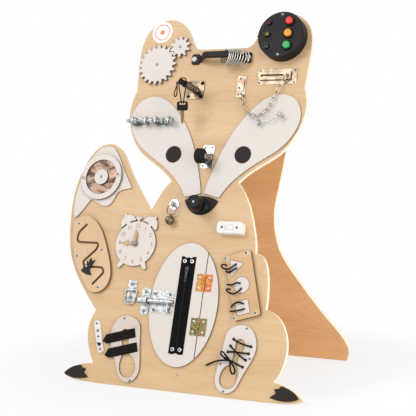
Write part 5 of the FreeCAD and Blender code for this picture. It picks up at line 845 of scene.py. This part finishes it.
def smooth_line(name, route):
    """The points along a route's own smooth spline, in metres."""
    curve = bpy.data.curves.new(name, "CURVE")
    curve.dimensions = "3D"
    curve.resolution_u = 10
    spline = curve.splines.new("NURBS")
    spline.points.add(len(route) - 1)
    for point, place in zip(spline.points, route):
        point.co = (*at(*place), 1.0)
    spline.order_u = 3
    spline.use_endpoint_u = True
    holder = fresh(name, curve)
    mesh = bpy.data.meshes.new_from_object(holder)
    line = [v.co.copy() for v in mesh.vertices]
    bpy.data.objects.remove(holder)
    return line


def cord_mesh(name, line, radius, sides=12):
    """A round cord along a line, with closed ends and a map that runs along it."""
    corners, faces, wraps, metres = [], [], [], []
    legs = [(b - a).normalized() for a, b in zip(line, line[1:])]
    tangents = [legs[0], *((a + b).normalized() for a, b in zip(legs, legs[1:])), legs[-1]]
    across = tangents[0].orthogonal().normalized()
    reach = 0.0
    for k, (place, tangent) in enumerate(zip(line, tangents)):
        across = (across - tangent * across.dot(tangent)).normalized()
        beside = tangent.cross(across)
        if k:
            reach += (place - line[k - 1]).length
        for s in range(sides):
            a = TURN * s / sides
            corners.append(place + (across * math.cos(a) + beside * math.sin(a)) * radius)
        metres.append(reach)
    for k in range(len(line) - 1):
        for s in range(sides):
            n = (s + 1) % sides
            a, b = k * sides, (k + 1) * sides
            faces.append([a + s, a + n, b + n, b + s])
            wraps.append([(s / sides, metres[k]), ((s + 1) / sides, metres[k]),
                          ((s + 1) / sides, metres[k + 1]), (s / sides, metres[k + 1])])
    for end, base, beyond in ((0, 0, -tangents[0]), (-1, (len(line) - 1) * sides, tangents[-1])):
        middle = len(corners)
        corners.append(line[end] + beyond * radius * 0.35)
        for s in range(sides):
            rim = [base + s, base + (s + 1) % sides]
            faces.append((rim if end else rim[::-1]) + [middle])
            wraps.append([(0.0, metres[end])] * 3)
    mesh = bpy.data.meshes.new(name)
    mesh.from_pydata([tuple(c) for c in corners], [], faces)
    layer = mesh.uv_layers.new(name="along")
    for loop, uv in zip(layer.data, (uv for face in wraps for uv in face)):
        loop.uv = uv
    mesh.shade_smooth()
    return mesh


def cord(name, length, route, radius, finish, body, node,
         moving=None):
    """A limp cord on its route. Its real length in millimetres is not used."""
    line = smooth_line(name, route)
    piece = fresh(name, cord_mesh(name, line, radius * MM))
    if moving:
        piece.data.materials.append(finish)
        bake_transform(piece)
        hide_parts(node)
    else:
        finished(piece, finish, body, node)
    length * MM
    return piece


# ---------------------------------------------------------------- panels and overlays

dress("board_panel", "front_board", birch, 0.8)
dress("stand_panel", "rear_panel", honey, 0.8, "stand")
dress("stand_hinge_board", "hinge_leaves_board", hinge_steel, 0.2, keep=lambda m, s: m.z < -5)
dress("stand_hinge_panel", "hinge_leaves_rear", hinge_steel, 0.2, "stand")
dress("cheeks_and_tail", "white_patches", painted, 0.35,
      keep=lambda m, s: s.z > 2 and s.y > 60 and m.y > 400)
dress("round_badge", "white_patches", badge_white, 0.15, keep=lambda m, s: s.z < 2)
dress("belly_fixed_side", "white_patches", painted, 0.4, keep=lambda m, s: s.z > 2 and m.y < 300)
dress("black_shapes", "black_patches", black_paint, 0.35)
dress("gear_large", "large_gear", gear_white, 0.3, "large_gear")
dress("gear_small", "small_gear", gear_white, 0.3, "small_gear")
dress("maze_plate", "maze_panel", grooved, 0.4)
dress("maze_runner", "maze_slider", runner_black, 0.3, "maze_slider")
dress("clock_face", "clock_plate", painted, 0.35)
dress("clock_hour_hand", "hour_hand", hand_cut, 0.25, "hour_hand")
dress("clock_minute_hand", "minute_hand", hand_cut, 0.25, "minute_hand")
dress("inserts_plate", "insert_panel", insert_ply, 0.4)
for shape_name in ("triangle", "disc", "square"):
    dress("loose_" + shape_name, "insert_" + shape_name, painted, 0.35, "insert_" + shape_name)
dress("shoe_left", "shoe_plates", whitewash, 0.35, keep=lambda m, s: s.y > 40 and m.x < 0)
dress("shoe_right", "shoe_plates", painted, 0.35, keep=lambda m, s: s.y > 40 and m.x > 0)
dress("lace_eyelets", "shoe_plates", bronze, keep=lambda m, s: s.y < 40, sharp=50)
dress("belly_leaf", "belly_door", painted, 0.4, "belly_door")
dress("tail_hoop", "tail_ring", painted, 0.35, keep=lambda m, s: s.x > 30)
dress("tail_sleeves", "tail_ring", bare_ivory, 0.4, keep=lambda m, s: s.x < 30)
dress("mirror_sheet_disc", "mirror_disc", mirror, 0.2, "mirror_disc", keep=lambda m, s: s.x > 50)
dress("mirror_hub", "mirror_disc", painted, 0.3, "mirror_disc", keep=lambda m, s: s.x < 50)

# ---------------------------------------------------------------- metal and moulded fittings

dress("bow_handle", "pull_handle", black_plastic, 1.6, steps=3)
dress("hanging_rings", "handle_rings", ring_chrome, body="handle_rings", sharp=60)
dress("stop_plate", "spring_stop_base", stop_nickel, 0.35)
spring = dress("stop_coil", "stop_spring", stop_nickel, body=None, sharp=60)
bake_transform(spring)
dress("stop_rubber", "stop_tip", black_rubber, 0.5, "spring_stop")
dress("key_head", "door_key", black_plastic, 0.9, "key", keep=lambda m, s: s.x > 15, steps=3)
dress("key_blade", "door_key", key_nickel, 0.2, "key", keep=lambda m, s: s.x < 15)
dress("slide_pin", "chain_slider", nickel, 0.2, "chain")
chain = dress("link_chain", "door_chain", chain_nickel, body=None, sharp=60)
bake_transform(chain)


def near(u, v, reach=12):
    return lambda m, s: abs(m.x - u) < reach and abs(m.y - v) < reach


dress("slot_plate", "latch_plates", nickel, 0.3, keep=near(144.8, 717.5))
dress("anchor_plate", "latch_plates", nickel, 0.25, keep=near(59.5, 696))
dress("ring_plate", "latch_plates", zinc, 0.3, keep=near(-143, 212.5))
dress("bolt_keeper", "latch_plates", zinc, 0.3, keep=near(-104.5, 192))
dress("caster_plate", "latch_plates", zinc, 0.4, keep=near(0, 529))
dress("bolt_brackets", "bolt_row", zinc, 0.3, keep=lambda m, s: 30 < s.x < 60)
dress("long_bolt", "bolt_row", zinc_thread, 0.2, keep=lambda m, s: s.x > 60)
dress("bolt_nuts", "bolt_row", zinc, 0.4, keep=lambda m, s: s.x < 30)
dress("bolt_wing", "wing_nut", zinc, 0.4, "wing_nut")
dress("ear_box", "ear_box_shell", black_plastic, 0.4)
dress("ear_lid", "ear_box_lid", black_plastic, 0.3, keep=lambda m, s: s.x > 60)
dress("lamp_bezels", "ear_box_lid", gunmetal, 0.2, keep=lambda m, s: s.x < 20)
dress("button_bezels", "ear_box_lid", black_gloss, 0.3, keep=lambda m, s: 20 <= s.x < 60)
for lamp_name, lamp_v, lamp_finish in (("red", 837.5, red_lamp), ("yellow", 808.5, olive_lamp),
                                       ("green", 780, green_lamp)):
    dress("lamp_" + lamp_name, "signal_lamps", lamp_finish, keep=near(119.5, lamp_v), sharp=50)
for cap_name, cap_finish in (("red", red_cap), ("amber", amber_cap), ("green", green_cap)):
    dress("cap_" + cap_name, "push_button_" + cap_name, cap_finish, 0.5, "button_" + cap_name)
dress("eyes_of_steel", "screw_eyes", zinc, sharp=50)
dress("cheek_hook", "latch_hook", zinc, body="latch_hook", sharp=50)
dress("bell", "jingle_bell", bell_metal, body="bell", sharp=45)
dress("swivel_fork", "caster_fork", chrome, 0.5, "caster_fork")
dress("swivel_wheel", "caster_wheel", black_rubber, 0.5, "caster_wheel")
dress("turned_knob", "nose_knob", black_gloss, 0.5, "nose_knob", steps=3)
dress("switch_case", "switch_body", white_plastic, 0.4)
dress("switch_key", "switch_rocker", white_plastic, 0.5, "switch_rocker")
dress("lashing_ring", "tie_ring", zinc, body="tie_ring", sharp=50)
dress("barrel_plate", "barrel_bolt_plate", zinc, body="belly_door", sharp=40)
dress("barrel_rod", "barrel_bolt_rod", zinc, body="barrel_bolt", sharp=40)
dress("zip_pull", "zipper_slider", black_metal, 0.25, "zipper_slider")
dress("strip_bar", "toggle_strip", white_plastic, 0.4, keep=lambda m, s: s.y > 30)
dress("strip_bead_top", "toggle_strip", olive_bead, keep=lambda m, s: s.y < 6.2 and m.y > 100,
      sharp=50)
dress("strip_bead_low", "toggle_strip", orange_bead, keep=lambda m, s: s.y < 6.2 and m.y < 80,
      sharp=50)
dress("strip_bush", "toggle_strip", dark_screw, keep=lambda m, s: 6.2 < s.y < 30, sharp=50)
dress("strip_lever", "strip_toggle", black_plastic, body="strip_toggle", sharp=50)
dress("leaf_fixed_upper", "hinge_leaves_board", warm_print, 0.2,
      keep=lambda m, s: m.z > 0 and m.y > 200)
dress("leaf_fixed_lower", "hinge_leaves_board", green_print_b, 0.2,
      keep=lambda m, s: m.z > 0 and m.y < 200)
dress("leaf_door_upper", "hinge_leaves_door", warm_print_b, 0.2, "belly_door",
      keep=lambda m, s: s.y > 20 and s.x > 8 and m.y > 200)
dress("leaf_door_lower", "hinge_leaves_door", green_print, 0.2, "belly_door",
      keep=lambda m, s: s.y > 20 and s.x > 8 and m.y < 200)

# ---------------------------------------------------------------- screws and washers

SMALL = screw_head("item_small", 2.6, 1.2, 1.1, 7.0)
SMALL_SHORT = screw_head("item_small_short", 2.6, 1.2, 1.1, 4.2)
PAN = screw_head("item_pan", 4.0, 2.2, 1.6, 7.0)
PAN_SHORT = screw_head("item_pan_short", 4.0, 2.2, 1.6, 5.0)
CUPPED = screw_head("item_cupped", 2.8, 1.4, 1.3, 8.0)
CUPPED_SHORT = screw_head("item_cupped_short", 2.8, 1.4, 1.3, 5.6)
BROAD = screw_head("item_broad", 3.6, 1.8, 1.8, 8.0)
CUP = washer_item("item_cup", [(1.35, 0), (4.8, 0), (4.6, 0.5), (3.84, 1.2), (1.35, 1.2)])
BROAD_CUP = washer_item("item_broad_cup", [(1.85, 0), (6.2, 0), (5.9, 0.6), (4.96, 1.2),
                                           (1.85, 1.2)])

SIDES = (-1, 1)
anchors = [(55.5, 715), (54.5, 693), (54.5, 677)]
slot_corners = [(144.8 + a * 42, 717.5 + b * 14.3) for a in SIDES for b in SIDES]
brackets = [(centre + side * 8, 611) for centre in (-182, -121) for side in SIDES]
caster = [(a * 9.0, 529 + b * 21.5) for a in SIDES for b in SIDES]
switch = [(68, 364.5), (104, 364.5)]
tail = [(-221.434, 482.124), (-315.94, 472.608)]
shoes = [(152, 149.5), (167.5, 86.5), (101.5, 70), (116.5, 13.5), (-149, 149.5), (-112, 13.5)]
strip = [(-218.5, 132.5), (-209, 103.75)]
fixed_leaf, door_leaf = ([(u, v + side * 11.5) for v in (241, 144) for side in SIDES]
                         for u in (49, 26))
ring_mount, keeper = [(-143, 229), (-143, 198)], [(-104.5, 213.5), (-104.5, 170.5)]
box, lid = [(151, 855), (151, 760)], [(121, 807.5), (181, 807.5)]
stop = [(-56 + a * 16, 690 + b * 16) for a in SIDES for b in SIDES]
maze = [(-307.5, 361.5), (-233.5, 301.5), (-298.5, 284.5), (-228.7, 214.7)]
insert = [(82.7, 297), (129.7, 312), (168.5, 183.8), (121.7, 168.8)]
handle = [(-69, 765), (69, 765)]
lock = [(u, 192 + side * 18.5) for u in (-78, -41) for side in SIDES]
tape = [(-8.5 + side * 9, v) for side in SIDES for v in (287, 91)]


def seated(places, h):
    """The places of one fitting's screws, at the height of their seats."""
    return [(u, v, h) for u, v in places]


small = (seated(anchors + slot_corners, 1.4) + seated(brackets, 5) + seated(caster, 2.2)
         + seated(switch, 18.6) + seated(tail, 13) + seated(shoes, 4) + seated(strip, 5))
pan = seated(ring_mount, 2) + seated(keeper, 1.6) + seated(box, 28) + seated(lid, 2.5)
for name, item, places, finish, seed in (
        ("screws_small", SMALL, small, screw_steel, 3),
        ("screws_leaf_fixed", SMALL, seated(fixed_leaf, 5.5), bright_screw, 4),
        ("screws_pan", PAN, pan, silver_screw, 5),
        ("screws_stop", PAN, seated(stop, 2), dark_screw, 7),
        ("screws_cupped", CUPPED, seated(maze + insert, 9.2), screw_steel, 9),
        ("cups", CUP, seated(maze + insert, 8), bare_ivory, 9),
        ("screws_handle", BROAD, seated(handle, 6.2), bright_screw, 11),
        ("cups_handle", BROAD_CUP, seated(handle, 5), bare_ivory, 11)):
    set_out(name, item, places, finish, seed, "board", "board_screws")
for name, item, places, finish, seed in (
        ("screws_leaf_door", SMALL_SHORT, seated(door_leaf, 5.5), bright_screw, 13),
        ("screws_lock", PAN_SHORT, seated(lock, 5.9), silver_screw, 15),
        ("screws_tape", CUPPED_SHORT, seated(tape, 6.7), screw_steel, 17),
        ("cups_tape", CUP, seated(tape, 5.5), bright_screw, 17)):
    set_out(name, item, places, finish, seed, "belly_door", "hinge_leaves_door")

screw_spots = (anchors + slot_corners + brackets + caster + switch + tail + shoes + strip
               + fixed_leaf + ring_mount + keeper + box + lid + stop + maze + insert + handle)
dress("axle_pins", "board_screws", screw_steel, 0.15,
      keep=lambda m, s: all(abs(m.x - u) > 1 or abs(m.y - v) > 1 for u, v in screw_spots))

# ---------------------------------------------------------------- clock numerals

CLOCK_U, CLOCK_V, NUMERAL_RING, NUMERAL_H = -151, 321, 41.5, 4.53
marks = []
for hour in range(1, 13):
    angle = math.radians(90 - 30 * hour)
    text = bpy.data.curves.new(f"numeral_{hour}", "FONT")
    text.body = str(hour)
    text.size = 13.5
    text.align_x = "CENTER"
    text.align_y = "CENTER"
    text.space_character = 0.92
    text.extrude = 0.06
    text.resolution_u = 3
    holder = fresh(text.name, text)
    mesh = bpy.data.meshes.new_from_object(holder)
    bpy.data.objects.remove(holder)
    place = Vector((CLOCK_U + NUMERAL_RING * math.cos(angle),
                    CLOCK_V + NUMERAL_RING * math.sin(angle), NUMERAL_H))
    mesh.transform(Matrix.Translation(place))
    mesh.transform(ON_BOARD @ Matrix.Scale(MM, 4))
    marks.append(fresh(text.name + "_mark", mesh))
finished(joined("clock_numerals", marks), engraved, "board")

# ---------------------------------------------------------------- zipper and straps

def cloth_plate(name, outline, h, thick, fall=0.35):
    """A flat cloth tape from its outline, with rounded edges that lie a little lower."""
    mesh = slab(name, [(*p, h) for p in outline], thick)
    mesh.transform(ON_BOARD @ Matrix.Scale(MM, 4))
    piece = fresh(name, mesh)
    eased(piece, fall, 3, 40)
    settled(piece).data.shade_smooth()
    piece.data.set_sharp_from_angle(angle=math.radians(50))
    return piece


ZIP_U, ZIP_TOP_V, ZIP_LOW_V, ZIP_SEAT = -8.5, 298.0, 80.0, 4.3
for side, side_name in ((-1, "left"), (1, "right")):
    inner, outer = ZIP_U + side * 0.1, ZIP_U + side * 18
    outline = [(inner, ZIP_LOW_V + 3), (ZIP_U + side * 9, ZIP_LOW_V), (outer, ZIP_LOW_V + 1.5),
               (outer, ZIP_TOP_V), (ZIP_U + side * 11, ZIP_TOP_V - 0.6),
               (ZIP_U + side * 5, ZIP_TOP_V - 4), (inner, ZIP_TOP_V - 1.5)]
    if side > 0:
        outline = outline[::-1]
    half = cloth_plate(f"zip_tape_{side_name}", outline, ZIP_SEAT, 0.95)
    finished(half, tape_black, "belly_door", "zipper_tape")


def tooth(name, side):
    """One zipper tooth that points to a side, its foot at height 0, in metres."""
    outline = [(0.0, -0.45), (1.6, -0.55), (2.6, -0.35), (2.6, 0.35), (1.6, 0.55), (0.0, 0.45)]
    corners = [(side * x * MM, y * MM, 0) for x, y in outline]
    return fresh(name, slab(name, corners, 0.9 * MM, narrowing=0.9))


TOOTH_STEP = 2.4
for side, side_name, shift, first_v, count in ((-1, "left", 0.3, 94.2, 79),
                                               (1, "right", -0.3, 95.4, 78)):
    lined_up(f"zip_teeth_{side_name}", tooth(f"item_tooth_{side_name}", side),
             (ZIP_U + shift, first_v, 5.45), (0, TOOTH_STEP), count, tooth_black, "belly_door",
             "zipper_tape")


def stitch(name):
    """One stitch of thick thread along the second axis, in metres."""
    corners, faces = lathe([(0, -0.0010), (0.00022, -0.0008), (0.0003, 0), (0.00022, 0.0008),
                            (0, 0.0010)], 6)
    mesh = outward(mesh_from(name, corners, faces, 80))
    mesh.transform(Matrix.Rotation(UPRIGHT, 4, "X"))
    return fresh(name, mesh)


STITCH = stitch("item_stitch")
for side, side_name in ((-1, "left"), (1, "right")):
    lined_up(f"zip_seam_{side_name}", STITCH, (ZIP_U + side * 4.2, 84, 5.3), (0, 2.9), 72,
             thread_black, "belly_door", "zipper_tape")

SEAM_TURN = (Matrix.Rotation(UPRIGHT - LEAN, 4, "X")
             @ Matrix.Rotation(STRAP_TURN + UPRIGHT, 4, "Z")).to_euler()[:]
STRAP_OUTLINE = [(0, 10.5), (-73, 10.5), (-84, -2.6), (-73, -10.5), (0, -10.5)]
for strap_name, (hinge_u, hinge_v) in (("upper", (-116.0, 119.5)), ("lower", (-105.5, 88.5))):
    def on_strap(a, b):
        return (hinge_u + a * math.cos(STRAP_TURN) - b * math.sin(STRAP_TURN),
                hinge_v + a * math.sin(STRAP_TURN) + b * math.cos(STRAP_TURN))
    strap = "strap_" + strap_name
    band = cloth_plate("strap_band_" + strap_name, [on_strap(*p) for p in STRAP_OUTLINE], 4.3, 1.8,
                       0.6)
    finished(band, strap_black, strap, strap)
    for edge, edge_name in ((8.8, "top"), (-8.8, "low")):
        a, b = on_strap(-3, edge)
        next_a, next_b = on_strap(-5.9, edge)
        lined_up(f"strap_seam_{strap_name}_{edge_name}", STITCH, (a, b, 6.1),
                 (next_a - a, next_b - b), 24, thread_black, strap, strap, SEAM_TURN)

# ---------------------------------------------------------------- cords and lace

KEY_CORD_R, LACE_R = 1.3, 1.8
for name, length, route in (
        ("key_string", 129.4,
         [(-58.2, 638.6, 53.0), (-59.6, 647.9, 56.0), (-62.6, 664.1, 61.2), (-65.1, 675.5, 64.8),
          (-64.8, 690.1, 68.1), (-61.5, 694.4, 68.5), (-50.5, 694.4, 68.5), (-47.2, 690.1, 68.1),
          (-46.9, 675.5, 64.8), (-49.4, 664.1, 61.2), (-52.4, 647.9, 56.0), (-53.8, 638.6, 53.0)]),
        ("key_string_loop", 71.9,
         [(-67.4, 684.2, 67.2), (-72.4, 673.7, 63.8), (-77.4, 662.3, 60.1), (-76.9, 653.7, 57.4),
          (-71.9, 654.6, 57.7), (-67.9, 664.9, 64.1), (-67.4, 677.0, 70.5),
          (-67.4, 684.6, 73.4)])):
    cord(name, length, route, KEY_CORD_R, cord_black, "key", "key_cord")

# The cords of the loose shapes start in the shapes, at seat, and end in the plate, at foot.
foot = 8.0
low = foot + LACE_R + 0.2
up = low + 3.0
seat = foot + 0.6
insert_routes = [
    ("triangle", 56.9, [(110.5, 286.5, seat), (107.5, 283, up), (100, 274.5, up + 1),
                        (89, 272, up), (79, 275.5, up), (76.5, 281.5, up), (82, 283.5, up),
                        (87.5, 282, foot)]),
    ("triangle", 32.0, [(113.5, 277.5, seat), (108, 274, up), (101.5, 268, up - 0.5),
                        (93.5, 266, low + 1), (87, 268.5, foot)]),
    ("disc", 36.1, [(125.5, 244.5, seat), (120, 246.5, up), (112, 240, up + 1), (102, 239, up),
                    (94, 240, foot)]),
    ("disc", 53.9, [(130, 235, seat), (127, 228, up), (119, 221, up), (108, 220.5, up),
                    (98, 224.5, up), (96, 231, up), (103.5, 230.5, foot)]),
    ("square", 36.3, [(140, 200.5, seat), (134, 204, up), (124, 201.5, up), (115, 196.5, up),
                      (110.5, 191.5, foot)]),
    ("square", 37.2, [(143.5, 191, seat), (136, 187, up), (126, 184, up), (117, 183, up),
                      (110, 183, foot)]),
]
for k, (shape_name, length, route) in enumerate(insert_routes):
    cord(f"insert_string_{k + 1}", length, route, LACE_R, cord_black, "board", "insert_cords",
         moving="insert_" + shape_name)

# Heights of the lace are told from where it lies on the eyelets.
lace_low = 4.0 + 0.8 + LACE_R
down = 4.2 - lace_low
lace_runs = [
    (46.8, "object", [(124.8, 125, down), (130, 122.5, 2), (142, 117.5, 2.5), (154, 114.5, 2),
                      (160.5, 113, 2), (167, 112, down)]),
    (52.2, "object", [(119.8, 110, down), (125, 106.5, 3), (137, 98, 6), (149, 89.5, 6),
                      (154, 86, 3), (158.8, 83, down)]),
    (49.9, "object", [(115.5, 97, down), (121, 97.5, 1), (134, 97.5, 1.5), (148, 97, 1.5),
                      (157.5, 97, 1), (163.8, 97, down)]),
    (45.6, "object", [(112, 83, down), (117, 81.5, 0.4), (130, 77, 0.9), (142, 72.5, 0.6),
                      (148.5, 70, 0.4), (153.8, 68, down)]),
    (57.1, "knot", [(125, 81, 8), (118, 87, 9), (109, 95, 8), (104, 96.5, 6), (102.5, 91, 5),
                    (108, 85.5, 5.5), (117, 80.5, 7.6), (124, 77.5, 9.2)]),
    (60.1, "knot", [(127.4, 77.2, 7), (129, 69, 8.5), (131, 58, 7), (135, 50, 5),
                    (140.5, 52.5, 5), (141.5, 60, 6.5), (136, 69, 8.6), (130.6, 75.6, 10)]),
    (60.3, "bare", [(124, 79, 4.6), (113, 78.2, 3.8), (100, 77, 1.8), (87, 73.2, -0.8),
                    (76, 68.6, -3.2), (67, 64, -4.3)]),
]
for k, (length, far_end, route) in enumerate(lace_runs):
    cord(f"lace_{k + 1}", length, [(u, v, lace_low + rise) for u, v, rise in route], LACE_R,
         lace_black, "board", "shoe_lace")

for item in [o for o in scene.objects if o.name.startswith("item_")]:
    bpy.data.objects.remove(item)

# ---------------------------------------------------------------- floor, light and camera

REACH_OF_FLOOR = 6
floor_mesh = bpy.data.meshes.new("studio_floor")
floor_mesh.from_pydata([(x * REACH_OF_FLOOR, y * REACH_OF_FLOOR, 0)
                        for x, y in ((-1, -1), (1, -1), (1, 1), (-1, 1))], [], [(0, 1, 2, 3)])
floor = fresh("studio_floor", floor_mesh)
paper = Finish("studio_paper")
spread = paper.node("ShaderNodeVectorMath", dict(operation="DISTANCE"), paper.object_place(),
                    (0.0, 0.25, 0.0), out=1)
diffuse = paper.node("ShaderNodeBsdfDiffuse", None, Color=(0.9, 0.9, 0.9, 1.0), Roughness=0.0)
white = paper.node("ShaderNodeEmission", None, Color=WHITE, Strength=1.0)
share = (spread.step(0.3, 0.8) * 0.3 + 0.7) * paper.directly_seen()
blend = paper.node("ShaderNodeMixShader", None, share, diffuse, white)
paper.node("ShaderNodeOutputMaterial", None, blend)
floor_mesh.materials.append(paper.data)

sky = Finish("studio_world", "worlds")
scene.world = sky.data
lit = sky.node("ShaderNodeBackground", None, Color=WHITE, Strength=0.62)
plain = sky.node("ShaderNodeBackground", None, Color=WHITE, Strength=1.0)
blend = sky.node("ShaderNodeMixShader", None, sky.directly_seen(), lit, plain)
sky.node("ShaderNodeOutputWorld", None, blend)


def lamp(name, place, target, size, power):
    """A square lamp that looks at a target: metres and watts."""
    data = bpy.data.lights.new(name, "AREA")
    data.shape = "SQUARE"
    data.size = size
    data.energy = power
    light = fresh(name, data)
    light.location = place
    light.rotation_euler = (Vector(target) - Vector(place)).to_track_quat("-Z", "Y").to_euler()


lamp("key_light", (-1.3, -2.0, 2.3), (0.0, 0.1, 0.45), 1.3, 32)
lamp("fill_light", (2.2, -1.4, 1.1), (0.0, 0.1, 0.4), 1.6, 13)
lamp("low_light", (1.9, -1.1, 0.30), (0.12, 0.42, 0.25), 0.5, 6)
lamp("stand_light", (0.85, 0.13, 0.36), (0.12, 0.42, 0.3), 0.3, 1.8)

TARGET = Vector((0.081, -0.00525, 0.400))
AZIMUTH, ELEVATION, REACH = math.radians(26.659), math.radians(3.558), 2.2992
back = Vector((math.sin(AZIMUTH) * math.cos(ELEVATION), -math.cos(AZIMUTH) * math.cos(ELEVATION),
               math.sin(ELEVATION)))
lens = bpy.data.cameras.new("camera")
lens.sensor_width = 36.0
lens.lens = 94.81
lens.clip_start, lens.clip_end = 0.05, 60.0
camera = fresh("camera", lens)
camera.location = TARGET + back * REACH
camera.rotation_euler = (-back).to_track_quat("-Z", "Y").to_euler()
scene.camera = camera
scene.view_settings.view_transform = "Standard"

bpy.context.view_layer.update()
